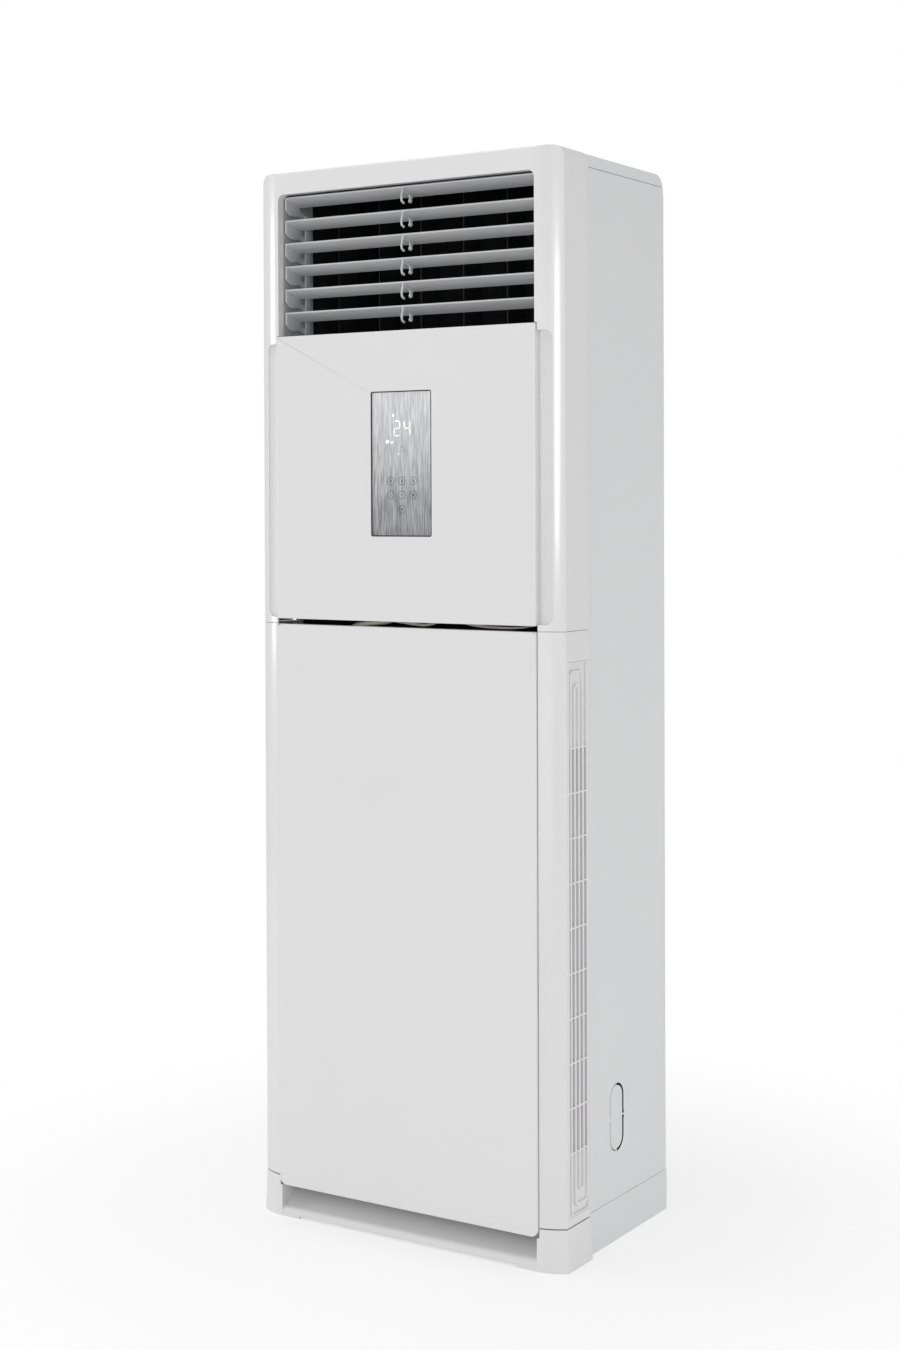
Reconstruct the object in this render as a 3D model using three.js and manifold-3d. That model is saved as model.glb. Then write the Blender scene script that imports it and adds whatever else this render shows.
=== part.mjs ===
// Floor standing column air conditioner. Millimetres, +Z up, front towards -Y, +X to the right
// of someone facing it. The origin is on the floor under the middle of the bounding box.
import * as THREE from 'three';
import { mergeVertices } from 'three/addons/utils/BufferGeometryUtils.js';
import Module from 'manifold-3d';

const wasm = await Module();
wasm.setup();

// ---- Driving sizes ------------------------------------------------------------------------

// Heights of the front, stacked from the floor up
const doorBottom = 56.5;
const doorHeight = 996.5;
const doorTopGap = 9.5;
const panelHeight = 498;
const outletHeight = 250.5;
const headHeight = 39;
const plinthHeight = 71;
const plinthTopGap = 2;
const pillarTopGap = 0.5;

// Widths of the front
const panelWidth = 529;
const pilasterWidth = 44;
const outletWidth = 523;
const sideGap = 1.2;

// Depths, counted back from the front plane of the mouldings
const panelProud = 3;
const frontDepth = 100;
const cabinetDepth = 293;
const seamGap = 0.8;
const skirtStep = 1.5;
const cabinetInset = 8.5;

// Corner of the front mouldings seen from above
const cornerSweep = 52;
const cornerDrop = 19;
const cornerControl = 27;
const headCornerRadius = 17;

// Walls, gaps and fits
const wall = 3;
const sheet = 1.2;
const seatGap = 0.3;
const pinPlay = 0.5;

// Outlet louvers
const louverCount = 6;
const louverPitch = 40.8;
const louverChord = 43;
const louverTilt = 17;
const louverDrop = 12;
const louverNoseBack = 17;
const louverTopGap = 3.5;
const earThickness = 3;
const earHeight = 30.5;
const earFront = 21;
const crankLength = 45;
const linkWidth = 12;
const linkThickness = 3.4;
const pivotPin = 2.4;
const crankPin = 1.8;
const hookOffset = -8;
const hookBallRadius = 4;
const louverBoxDepth = 101;
const louverBoxHeadroom = 13;
const louverBoxFootroom = 9;
const mouthLip = 13;

// Vertical vanes behind the louvers
const vaneCount = 6;
const vanePitch = 89;
const vaneChord = 60;
const vaneFrontBack = 130;
const vanePivotBack = 22;
const vaneThickness = 2;
const vaneEndGap = 8;
const vaneNotch = 14;

// Finger channels beside the control panel
const channelWidth = 26;
const channelDepth = 12;
const channelTopDrop = 12.5;
const channelRise = 2.5;
const channelRadius = 12;

// Display window
const windowWidth = 124;
const windowHeight = 248.5;
const windowRise = 146;
const windowRadius = 3.5;
const windowSink = 1.8;
const windowFlange = 5;

// Plinth
const plinthFlare = 3.5;
const footWidth = 86;
const footLift = 4;
const scoopEndGap = 3.5;
const scoopSill = 19;
const scoopSillBack = 14;
const scoopRise = 19;
const scoopDepth = 56;

// Lower door and its pivots
const doorReturn = 17;
const doorPivotBack = 9;
const doorPivotDrop = 13;
const doorPin = 3.6;

// Display board
const boardBack = 8.4;
const digitDrop = 79;
const digitPitch = 20.4;
const digitShift = 1.4;
const keyPitch = 23;
const keyRowPitch = 24.3;
const lowestKeyRise = 46.5;

// Side intake grille
const grilleWidth = 69;
const grilleHeadGap = 50.5;
const grilleRise = 14;
const grilleSetback = 27;
const grilleThickness = 8;
const firstRib = 9.7;
const ribPitch = 13.6;
const ribWidth = 5;
const outerTurnDrop = 16.5;
const innerTurnDrop = 39.5;
const turnRadius = 9;
const grilleRim = 3;
const grilleSink = 0.4;
const ribRelief = 4;
const barCount = 10;
const barHeight = 3;
const firstBarDrop = 142;
const lastBarRise = 105;

// Cabinet
const cabinetTopStep = 3;
const coverSkirt = 20;
const coverRadius = 30;
const skirtHeight = 71;
const deckHeight = 58;
const knockoutWidth = 66;
const knockoutHeight = 134;
const knockoutBack = 215;
const knockoutRise = 208;
const knockoutSlope = 8.5;
const knockoutSink = 4;
const knockoutSlot = 1.6;

// Blower
const wheelRadius = 168;
const wheelWidth = 128;
const bladeCount = 26;
const wheelSectors = 26;
const bladeDepth = 30;
const bladeThickness = 1.6;
const scrollStart = 190;
const scrollGrowth = 80;
const scrollDepth = 150;
const scrollBack = 148;
const blowerDrop = 330;
const shaftRadius = 6;
const motorRadius = 62;
const bracketGauge = 3;
const bracketDiscRadius = 52;
const bracketReach = 88;
const bracketArmWidth = 22;
const motorLength = 82;

// Coil
const coilThickness = 44;
const coilWidth = 464;
const coilFootBack = 132;
const coilHeadBack = 345;
const coilRise = 42;
const coilTopDrop = 44;
const bendCount = 5;
const bendRadius = 10;
const tubeRadius = 4;

// Tray and pipes
const floorGauge = 1.5;
const trayHeight = 30;
const trayWall = 2.5;
const spoutLength = 26;
const drainX = 262;
const drainRadius = 8;
const pipeX = 266;
const suctionShare = 0.6;
const liquidShare = 0.404;
const suctionRadius = 6.4;
const liquidRadius = 3.2;
const hoseTail = 44;

// Inner bodies
const filterThickness = 6;
const boxWidth = 300;
const boxHeight = 128;
const boxDepth = 96;

// ---- Derived places -----------------------------------------------------------------------

const doorTop = doorBottom + doorHeight;
const panelBottom = doorTop + doorTopGap;
const panelTop = panelBottom + panelHeight;
const outletTop = panelTop + outletHeight;
const frameTop = outletTop + headHeight;
const frameBottom = doorTop + 1;
const pillarTop = frameBottom - pillarTopGap;
const pillarBottom = plinthHeight + plinthTopGap;
const doorPivotZ = doorTop - doorPivotDrop;
const grilleBottom = pillarBottom + grilleRise;
const grilleHeight = pillarTop - grilleBottom - grilleHeadGap;
const barPitch = (grilleHeight - 2 * seatGap - firstBarDrop - lastBarRise) / (barCount - 1);
const cabinetTop = frameTop - cabinetTopStep;
const panelHalf = panelWidth / 2;
const outletHalf = outletWidth / 2;
const frontHalf = panelHalf + pilasterWidth;
const cabinetHalf = frontHalf - cabinetInset;
const innerHalf = cabinetHalf - sheet;
const skirtHalf = cabinetHalf + skirtStep;
const cabinetFront = frontDepth + seamGap;
const cabinetRear = cabinetFront + cabinetDepth;
const skirtRear = cabinetRear + skirtStep;
const frontY = panelProud - (panelProud + skirtRear) / 2;
const tilt = THREE.MathUtils.degToRad(louverTilt);
const fineCurve = 8;
const cornerCurve = 5;
const mediumCurve = 3;
const smallCurve = 2;
const pinSides = 6;

// World Y of a point some distance behind the front plane
const behind = (distance) => frontY + distance;

// ---- Solid tools --------------------------------------------------------------------------

// Turns a closed three.js geometry into a solid that can be cut and joined
function toSolid(geometry) {
  const bare = geometry.clone();
  bare.deleteAttribute('normal');
  bare.deleteAttribute('uv');
  const merged = mergeVertices(bare, 1e-4);
  const corners = merged.index.array;
  const kept = [];
  for (let i = 0; i < corners.length; i += 3) {
    const [a, b, c] = [corners[i], corners[i + 1], corners[i + 2]];
    if (a !== b && b !== c && c !== a) kept.push(a, b, c);
  }
  return new wasm.Manifold(new wasm.Mesh({
    numProp: 3,
    vertProperties: new Float32Array(merged.attributes.position.array),
    triVerts: new Uint32Array(kept),
  }));
}

// Turns a solid back into a three.js geometry
function toGeometry(solid) {
  const mesh = solid.getMesh();
  const geometry = new THREE.BufferGeometry();
  geometry.setAttribute('position', new THREE.BufferAttribute(new Float32Array(mesh.vertProperties), 3));
  geometry.setIndex(new THREE.BufferAttribute(new Uint32Array(mesh.triVerts), 1));
  geometry.computeVertexNormals();
  return geometry;
}

const join = (...solids) => solids.reduce((whole, piece) => whole.add(piece));
const cut = (solid, ...tools) => tools.reduce((left, tool) => left.subtract(tool), solid);

// Which way an outline's own axes point once it is stood up: along X its sides are (Y, Z),
// along Y they are (X, Z), along Z they are (X, Y)
const xAxis = new THREE.Vector3(1, 0, 0);
const yAxis = new THREE.Vector3(0, 1, 0);
const zAxis = new THREE.Vector3(0, 0, 1);
const standing = {
  x: new THREE.Matrix4().makeBasis(yAxis, zAxis, xAxis),
  y: new THREE.Matrix4().makeBasis(xAxis, zAxis, yAxis.clone().negate()),
  z: new THREE.Matrix4(),
};

// An outline pushed along one axis from one place to another
function prism(outline, from, to, axis, curveSegments = smallCurve) {
  const geometry = new THREE.ExtrudeGeometry(outline,
    { depth: to - from, bevelEnabled: false, curveSegments });
  geometry.applyMatrix4(standing[axis]);
  if (axis === 'x') geometry.translate(from, 0, 0);
  if (axis === 'y') geometry.translate(0, to, 0);
  if (axis === 'z') geometry.translate(0, 0, from);
  return toSolid(geometry);
}

// A box between two corners
function block(x0, x1, y0, y1, z0, z1) {
  const geometry = new THREE.BoxGeometry(x1 - x0, y1 - y0, z1 - z0);
  geometry.translate((x0 + x1) / 2, (y0 + y1) / 2, (z0 + z1) / 2);
  return toSolid(geometry);
}

// A round bar along one axis, its other two coordinates given in X, Y, Z order
function bar(axis, first, second, radius, from, to, sides = 8) {
  const geometry = new THREE.CylinderGeometry(radius, radius, to - from, sides);
  const middle = (from + to) / 2;
  if (axis === 'x') geometry.rotateZ(-Math.PI / 2).translate(middle, first, second);
  if (axis === 'y') geometry.translate(first, middle, second);
  if (axis === 'z') geometry.rotateX(Math.PI / 2).translate(first, second, middle);
  return toSolid(geometry);
}

// A tube or ring turned round an axis that runs front to back
function turnedAlongY(profile, x, z, sides) {
  const geometry = new THREE.LatheGeometry(profile, sides);
  geometry.translate(x, 0, z);
  return toSolid(geometry);
}

// A round hose or pipe that follows a curve through a few points
function pipe(points, radius, steps, sides = 8) {
  const path = new THREE.CatmullRomCurve3(points, false, 'catmullrom', 0.4);
  const section = new THREE.Shape();
  for (let i = 0; i < sides; i += 1) {
    const angle = (2 * Math.PI * i) / sides;
    if (i === 0) section.moveTo(radius, 0);
    else section.lineTo(radius * Math.cos(angle), radius * Math.sin(angle));
  }
  section.closePath();
  return toSolid(new THREE.ExtrudeGeometry(section, { steps, extrudePath: path, curveSegments: 1 }));
}

// A closed outline through straight points
function polygon(points) {
  const outline = new THREE.Shape();
  points.forEach(([u, v], i) => (i === 0 ? outline.moveTo(u, v) : outline.lineTo(u, v)));
  outline.closePath();
  return outline;
}

// A rectangle with its own radius at each corner, starting bottom left and going round
function roundedRectangle(u0, u1, v0, v1, radii) {
  const [r0, r1, r2, r3] = radii;
  const outline = new THREE.Shape();
  outline.moveTo(u0 + r0, v0);
  outline.lineTo(u1 - r1, v0);
  if (r1 > 0) outline.absarc(u1 - r1, v0 + r1, r1, -Math.PI / 2, 0, false);
  outline.lineTo(u1, v1 - r2);
  if (r2 > 0) outline.absarc(u1 - r2, v1 - r2, r2, 0, Math.PI / 2, false);
  outline.lineTo(u0 + r3, v1);
  if (r3 > 0) outline.absarc(u0 + r3, v1 - r3, r3, Math.PI / 2, Math.PI, false);
  outline.lineTo(u0, v0 + r0);
  if (r0 > 0) outline.absarc(u0 + r0, v0 + r0, r0, Math.PI, 1.5 * Math.PI, false);
  outline.closePath();
  return outline;
}

// A slot with round ends, taller than it is wide, round a centre
function uprightSlot(u, v, width, height) {
  const radius = width / 2;
  return roundedRectangle(u - radius, u + radius, v - height / 2, v + height / 2,
    [radius, radius, radius, radius].map((r) => r - 0.01));
}

// A solid that runs from one flat outline to another with as many points, along one axis
function loft(outlineA, placeA, outlineB, placeB, axis, curveSegments) {
  const ringA = outlineA.extractPoints(curveSegments).shape;
  const ringB = outlineB.extractPoints(curveSegments).shape;
  const count = ringA.length - 1;
  const stood = standing[axis];
  const level = axis === 'y' ? -1 : 1;
  const corners = [];
  for (const [ring, place] of [[ringA, placeA], [ringB, placeB]]) {
    for (let i = 0; i < count; i += 1) {
      corners.push(new THREE.Vector3(ring[i].x, ring[i].y, level * place).applyMatrix4(stood));
    }
  }
  const faces = [];
  for (let i = 0; i < count; i += 1) {
    const next = (i + 1) % count;
    faces.push(i, next, count + next, i, count + next, count + i);
    if (i > 0 && i < count - 1) faces.push(0, i + 1, i, count, count + i, count + i + 1);
  }
  const geometry = new THREE.BufferGeometry().setFromPoints(corners);
  geometry.setIndex(faces);
  return toSolid(geometry);
}

// The same solid built facing the other way, for the left side of the cabinet
function mirrored(solid) {
  const geometry = toGeometry(solid);
  geometry.scale(-1, 1, 1);
  const corners = geometry.index.array;
  for (let i = 0; i < corners.length; i += 3) {
    [corners[i], corners[i + 1]] = [corners[i + 1], corners[i]];
  }
  return toSolid(geometry);
}

// ---- Materials ----------------------------------------------------------------------------

const finish = (color, roughness, metalness) => ({ color, roughness, metalness });
const glossWhite = finish(0xe3e2e3, 0.22, 0);
const paintedWhite = finish(0xd9dadc, 0.42, 0);
const louverGrey = finish(0xc9cacb, 0.4, 0);
const linerGrey = finish(0xb4b5b7, 0.5, 0);
const foamBlack = finish(0x141414, 0.95, 0);
const brushedSilver = finish(0xb4b6b8, 0.35, 0.8);
const boardGreen = finish(0x1f5a36, 0.5, 0);
const aluminium = finish(0xc6c9cc, 0.4, 0.9);
const zinc = finish(0xa9adb0, 0.45, 0.8);
const copper = finish(0xb87348, 0.35, 0.9);
const motorGrey = finish(0x55585c, 0.5, 0.6);
const meshGrey = finish(0x6c7074, 0.7, 0);
const wheelWhite = finish(0xdcdcd8, 0.5, 0);
const hoseGrey = finish(0x9b9b98, 0.7, 0);
const harnessWhite = finish(0xd8d4ca, 0.6, 0);

const unit = new THREE.Group();

// Puts one named piece in the unit, with a material of its own
function place(name, solid, look, position = [0, 0, 0], turn = [0, 0, 0]) {
  const material = new THREE.MeshStandardMaterial(look);
  const mesh = new THREE.Mesh(toGeometry(solid), material);
  mesh.name = name;
  mesh.position.set(...position);
  mesh.rotation.set(...turn);
  unit.add(mesh);
}

// ---- Front mouldings ----------------------------------------------------------------------

// The front mouldings seen from above: flat front, swept corners, crisp edge, straight sides
function frontPlan(half, front, rear) {
  const flatHalf = half - cornerSweep;
  const controlHalf = half - cornerControl;
  const outline = new THREE.Shape();
  outline.moveTo(-half, behind(rear));
  outline.lineTo(-half, behind(front + cornerDrop));
  outline.quadraticCurveTo(-controlHalf, behind(front), -flatHalf, behind(front));
  outline.lineTo(flatHalf, behind(front));
  outline.quadraticCurveTo(controlHalf, behind(front), half, behind(front + cornerDrop));
  outline.lineTo(half, behind(rear));
  outline.closePath();
  return outline;
}

// Upper front frame: one moulding with the air outlet, the seat of the control panel between
// two finger channels, and the rounded head
function frontFrame() {
  const reach = frontHalf + 10;
  const face = roundedRectangle(-frontHalf, frontHalf, frameBottom, frameTop,
    [0, 0, headCornerRadius, headCornerRadius]);
  const head = roundedRectangle(behind(0), behind(frontDepth), frameBottom - 5, frameTop, [0, 0, 0, 4]);
  const outer = prism(frontPlan(frontHalf, 0, frontDepth), frameBottom, frameTop, 'z', fineCurve)
    .intersect(prism(face, behind(-1), behind(frontDepth + 1), 'y', fineCurve))
    .intersect(prism(head, -reach, reach, 'x'));
  const innerRadius = headCornerRadius - wall;
  const innerFace = roundedRectangle(wall - frontHalf, frontHalf - wall, frameBottom - 6, frameTop - wall,
    [0, 0, innerRadius, innerRadius]);
  const hollow = prism(frontPlan(frontHalf - wall, wall, frontDepth + 5), frameBottom - 5,
    frameTop - wall, 'z', mediumCurve)
    .intersect(prism(innerFace, behind(-1), behind(frontDepth + 6), 'y', fineCurve));
  const channelHalf = panelHalf + channelWidth;
  const channelBottom = panelBottom + channelRise;
  const channelTop = panelTop - channelTopDrop;
  const seatFloor = channelDepth + wall;
  const backing = block(-channelHalf - wall, channelHalf + wall, behind(wall - 1), behind(seatFloor),
    channelBottom - wall, panelTop + 2)
    .intersect(prism(frontPlan(frontHalf - 0.5, 0.5, frontDepth), frameBottom, frameTop, 'z', mediumCurve));
  const lip = block(-outletHalf - wall, outletHalf + wall, behind(wall - 1), behind(wall + mouthLip),
    panelTop, outletTop + wall);
  const r = channelRadius;
  const channels = prism(roundedRectangle(-channelHalf, channelHalf, channelBottom, channelTop, [r, r, r, r]),
    behind(-1), behind(channelDepth), 'y', cornerCurve);
  const slotHalf = panelHalf + sideGap;
  const seat = block(-slotHalf, slotHalf, behind(-1), behind(channelDepth), frameBottom - 1, panelTop + 1);
  const serviceHole = block(-panelHalf + 30, panelHalf - 30, behind(channelDepth - 1), behind(seatFloor + 1),
    channelBottom + 24, panelTop - 28);
  const mouth = prism(roundedRectangle(-outletHalf, outletHalf, panelTop - 2, outletTop, [0, 0, r, r]),
    behind(-1), behind(wall + mouthLip + 1), 'y', cornerCurve);
  return cut(join(cut(outer, hollow), backing, lip), channels, seat, serviceHole, mouth);
}

// Lower pillar on the right: swept front, side face with the intake window, inner return that
// carries the door's pivot, and a rear return against the cabinet
function rightPillar() {
  const innerX = panelHalf + sideGap;
  const outer = prism(frontPlan(frontHalf, 0, frontDepth), pillarBottom, pillarTop, 'z', fineCurve);
  const hollow = prism(frontPlan(frontHalf - wall, wall, frontDepth - wall), pillarBottom - 1,
    pillarTop + 1, 'z', mediumCurve);
  const skin = cut(outer, hollow)
    .intersect(block(innerX, frontHalf + 1, behind(-1), behind(frontDepth + 1), pillarBottom, pillarTop));
  const trimmedRear = cut(skin, block(innerX - 1, cabinetHalf - 16, behind(frontDepth - wall - 1),
    behind(frontDepth + 1), pillarBottom - 1, pillarTop + 1));
  const doorSide = block(innerX, innerX + wall, behind(wall - 0.5), behind(doorReturn + 6),
    pillarBottom, pillarTop);
  const stop = block(innerX - 12, innerX + wall, behind(doorReturn + seatGap + 0.5),
    behind(doorReturn + seatGap + 3), pillarBottom, doorPivotZ - 40);
  const window = block(frontHalf - wall - 4, frontHalf + 1, behind(grilleSetback),
    behind(grilleSetback + grilleWidth), grilleBottom, grilleBottom + grilleHeight);
  const pivotHole = bar('x', behind(doorPivotBack), doorPivotZ, doorPin + pinPlay, innerX - 1,
    innerX + wall + 1);
  return cut(join(trimmedRear, doorSide, stop), window, pivotHole);
}

// Side intake grille, drawn round the middle of its window: an insert of upright ribs and thin
// crossbars. Its ribs end in nested hairpins, and the fields beyond the end crossbars are
// closed. Both ends are alike, so one moulding turned over serves the left side too.
function intakeGrille() {
  const halfWidth = grilleWidth / 2 - seatGap;
  const halfHeight = grilleHeight / 2 - seatGap;
  const face = frontHalf - grilleSink;
  const back = face - grilleThickness;
  const firstBar = halfHeight - firstBarDrop;
  const lastBar = firstBar - (barCount - 1) * barPitch;
  const ribY = (i) => firstRib + ribPitch * i - halfWidth;
  const upright = (i, bottom, top) => block(back - 2, face + 2, ribY(i) - ribWidth / 2,
    ribY(i) + ribWidth / 2, bottom, top);
  const outerTurn = halfHeight - outerTurnDrop;
  const innerTurn = halfHeight - innerTurnDrop;
  const bones = [
    upright(0, -halfHeight, outerTurn - turnRadius),
    upright(1, turnRadius - outerTurn, innerTurn - turnRadius),
    upright(2, turnRadius - innerTurn, innerTurn - turnRadius),
    upright(3, turnRadius - innerTurn, outerTurn - turnRadius),
    upright(4, turnRadius - outerTurn, halfHeight),
    hairpin(ribY(0), ribY(3), outerTurn, 1, back, face),
    hairpin(ribY(1), ribY(2), innerTurn, 1, back, face),
    hairpin(ribY(1), ribY(4), outerTurn, -1, back, face),
    hairpin(ribY(2), ribY(3), innerTurn, -1, back, face),
  ];
  for (let i = 0; i < barCount; i += 1) {
    const z = firstBar - i * barPitch;
    bones.push(block(back - 2, face + 2, -halfWidth, halfWidth, z - barHeight / 2, z + barHeight / 2));
  }
  const inside = halfWidth - grilleRim;
  const openField = block(back - 1, face + 1, -inside, inside, lastBar, firstBar);
  const closedFields = [[firstBar - 1, halfHeight - grilleRim], [grilleRim - halfHeight, lastBar + 1]]
    .map(([bottom, top]) => block(face - ribRelief, face + 1, -inside, inside, bottom, top));
  const plate = block(back, face, -halfWidth, halfWidth, -halfHeight, halfHeight);
  return cut(plate, cut(join(openField, ...closedFields), ...bones));
}

// One hairpin of the grille: the turn that joins the ends of two ribs, level +1 at the top end
// of the grille and -1 at the bottom end
function hairpin(firstY, lastY, turnZ, level, back, face) {
  const half = ribWidth / 2;
  const outline = (grow) => {
    const radius = Math.min(turnRadius, (lastY - firstY) / 2) + grow - 0.1;
    const [from, to] = [turnZ - turnRadius - 1, turnZ + grow];
    if (level > 0) return roundedRectangle(firstY - grow, lastY + grow, from, to, [0, 0, radius, radius]);
    return roundedRectangle(firstY - grow, lastY + grow, -to, -from, [radius, radius, 0, 0]);
  };
  return cut(prism(outline(half), back - 2, face + 2, 'x'), prism(outline(-half), back - 3, face + 3, 'x'));
}

// Front plinth: a hollow moulding whose sides flare to the floor, with a finger scoop under
// the door and its front edge lifted between two corner feet
function frontPlinth() {
  const rear = frontDepth;
  const scoopHalf = panelHalf - scoopEndGap;
  const slopeBack = scoopDepth - 8;
  const slopeTop = scoopSill + scoopRise;
  const outer = loft(frontPlan(frontHalf + plinthFlare, -0.5, rear), 0, frontPlan(frontHalf, 0, rear),
    plinthHeight, 'z', fineCurve);
  const hollow = loft(frontPlan(frontHalf + plinthFlare - wall, wall, rear + 5), -1,
    frontPlan(frontHalf - wall, wall, rear + 5), plinthHeight - wall, 'z', mediumCurve);
  const trough = block(-scoopHalf - wall, scoopHalf + wall, behind(1), behind(scoopDepth + wall),
    scoopSill - wall, plinthHeight - 1);
  const sill = block(-scoopHalf - wall, scoopHalf + wall, behind(1), behind(scoopSillBack + 2),
    footLift, scoopSill - 1);
  const profile = new THREE.Shape();
  profile.moveTo(behind(-5), 6);
  profile.lineTo(behind(0), 6);
  profile.quadraticCurveTo(behind(1), scoopSill - 1, behind(scoopSillBack), scoopSill);
  profile.lineTo(behind(slopeBack), slopeTop);
  profile.quadraticCurveTo(behind(scoopDepth), slopeTop + 4, behind(scoopDepth), slopeTop + 14);
  profile.lineTo(behind(scoopDepth), plinthHeight + 1);
  profile.lineTo(behind(-5), plinthHeight + 1);
  profile.closePath();
  const scoop = prism(profile, -scoopHalf, scoopHalf, 'x', mediumCurve);
  const under = prism(polygon([[behind(scoopSillBack + 9), scoopSill - wall - 1],
    [behind(scoopSillBack + 9), scoopSill + 1.5],
    [behind(slopeBack + 2), slopeTop - 3], [behind(slopeBack + 2), scoopSill - wall - 1]]), -scoopHalf,
    scoopHalf, 'x');
  const lift = block(-frontHalf + footWidth, frontHalf - footWidth, behind(-10), behind(scoopDepth + 6),
    -2, footLift);
  const doorWay = block(-panelHalf - sideGap, panelHalf + sideGap, behind(-10), behind(scoopDepth),
    doorBottom - 1.5, plinthHeight + 1);
  return cut(join(cut(outer, hollow), trough, sill), scoop, under, doorWay, lift);
}

// ---- Door ---------------------------------------------------------------------------------

// Lower intake door: a shallow tray with turned edges, stiffening ribs inside, and a pivot pin
// at each upper corner
function lowerDoor() {
  const radii = [14, 14, 2, 2];
  const outer = prism(roundedRectangle(-panelHalf, panelHalf, doorBottom, doorTop, radii),
    behind(-panelProud), behind(doorReturn), 'y', cornerCurve);
  const inner = prism(roundedRectangle(-panelHalf + wall, panelHalf - wall, doorBottom + wall, doorTop - wall,
    [11, 11, 1, 1]), behind(wall - panelProud), behind(doorReturn + 1), 'y');
  const pieces = [cut(outer, inner)];
  const ribRows = 5;
  for (let i = 1; i <= ribRows; i += 1) {
    const z = doorBottom + (doorHeight * i) / (ribRows + 1);
    pieces.push(block(-panelHalf + 1, panelHalf - 1, behind(-1), behind(5), z - 1.2, z + 1.2));
  }
  for (const x of [-panelHalf / 2, panelHalf / 2]) {
    pieces.push(block(x - 1.2, x + 1.2, behind(-1), behind(5), doorBottom + 1, doorTop - 1));
  }
  const pinEnd = panelHalf + sideGap + wall - 0.5;
  pieces.push(bar('x', behind(doorPivotBack), doorPivotZ, doorPin, panelHalf - 2, pinEnd));
  pieces.push(bar('x', behind(doorPivotBack), doorPivotZ, doorPin, -pinEnd, -panelHalf + 2));
  return join(...pieces);
}

// ---- Control panel and display ------------------------------------------------------------

const windowBottom = panelBottom + windowRise;
const windowTop = windowBottom + windowHeight;

// Upper control panel: a clip-on shell with turned edges and the display window
function controlPanel() {
  const back = channelDepth - seatGap;
  const outer = prism(roundedRectangle(-panelHalf, panelHalf, panelBottom, panelTop, [3, 3, 2, 2]),
    behind(-panelProud), behind(back), 'y');
  const inner = prism(roundedRectangle(-panelHalf + wall, panelHalf - wall, panelBottom + wall,
    panelTop - wall, [1, 1, 1, 1]), behind(wall - panelProud), behind(back + 1), 'y');
  const r = windowRadius;
  const hole = prism(roundedRectangle(-windowWidth / 2, windowWidth / 2, windowBottom, windowTop,
    [r, r, r, r]), behind(-panelProud - 1), behind(wall - panelProud + 1), 'y');
  const pieces = [cut(outer, inner, hole)];
  for (const z of [windowBottom - 60, windowTop + 45]) {
    pieces.push(block(-panelHalf + 1, panelHalf - 1, behind(-1), behind(6), z - 1.2, z + 1.2));
  }
  return join(...pieces);
}

// Display window: the brushed plate that shows through the panel, with a flange behind it
function displayWindow() {
  const half = windowWidth / 2 - seatGap;
  const bottom = windowBottom + seatGap;
  const top = windowTop - seatGap;
  const r = windowRadius - seatGap;
  const flangeFront = wall - panelProud + seatGap;
  const plate = prism(roundedRectangle(-half, half, bottom, top, [r, r, r, r]),
    behind(windowSink - panelProud), behind(flangeFront + 1), 'y');
  const flange = block(-half - windowFlange, half + windowFlange, behind(flangeFront),
    behind(flangeFront + 1.5), bottom - windowFlange, top + windowFlange);
  return join(plate, flange);
}

// Display board: the circuit board behind the window, with two digit blocks and the springs
// that carry the touch keys forward to the window
function displayBoard() {
  const windowBack = wall - panelProud + seatGap + 1.5;
  const boardFront = boardBack - 1.6;
  const half = windowWidth / 2 - 4;
  const pieces = [block(-half, half, behind(boardFront), behind(boardBack), windowBottom + 6, windowTop - 6)];
  const front = behind(windowBack + seatGap);
  const digitZ = windowTop - digitDrop;
  const digitHalf = digitPitch / 2 - 1;
  for (const x of [digitShift - digitPitch / 2, digitShift + digitPitch / 2]) {
    pieces.push(block(x - digitHalf, x + digitHalf, front, behind(boardFront + 0.5), digitZ, digitZ + 30));
  }
  const keySpring = (column, row) => bar('y', 1 + column * keyPitch,
    windowBottom + lowestKeyRise + row * keyRowPitch, 4, front, behind(boardFront + 0.5), 6);
  pieces.push(keySpring(0, 0));
  for (const row of [1, 2]) {
    for (const column of [-1, 0, 1]) pieces.push(keySpring(column, row));
  }
  return join(...pieces);
}

// ---- Air outlet ---------------------------------------------------------------------------

const louverBoxFront = wall + mouthLip + seatGap;
const louverBoxRear = louverBoxFront + louverBoxDepth - 13;
const louverBoxTop = outletTop + louverBoxHeadroom;
const louverBoxBottom = panelTop - louverBoxFootroom;
const louverHalf = outletHalf - 2.5;
const pivotBack = louverNoseBack + (louverChord / 2) * Math.cos(tilt) - louverDrop * Math.sin(tilt);
const pivotZ = outletTop - louverTopGap - (louverChord / 2) * Math.sin(tilt) - louverDrop * Math.cos(tilt);
const vanePivotDepth = vaneFrontBack + vanePivotBack;
const vaneRailRear = vaneFrontBack + vaneChord;
const louverZ = (i) => pivotZ - i * louverPitch;
const vaneX = (i) => (i - (vaneCount - 1) / 2) * vanePitch;

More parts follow.
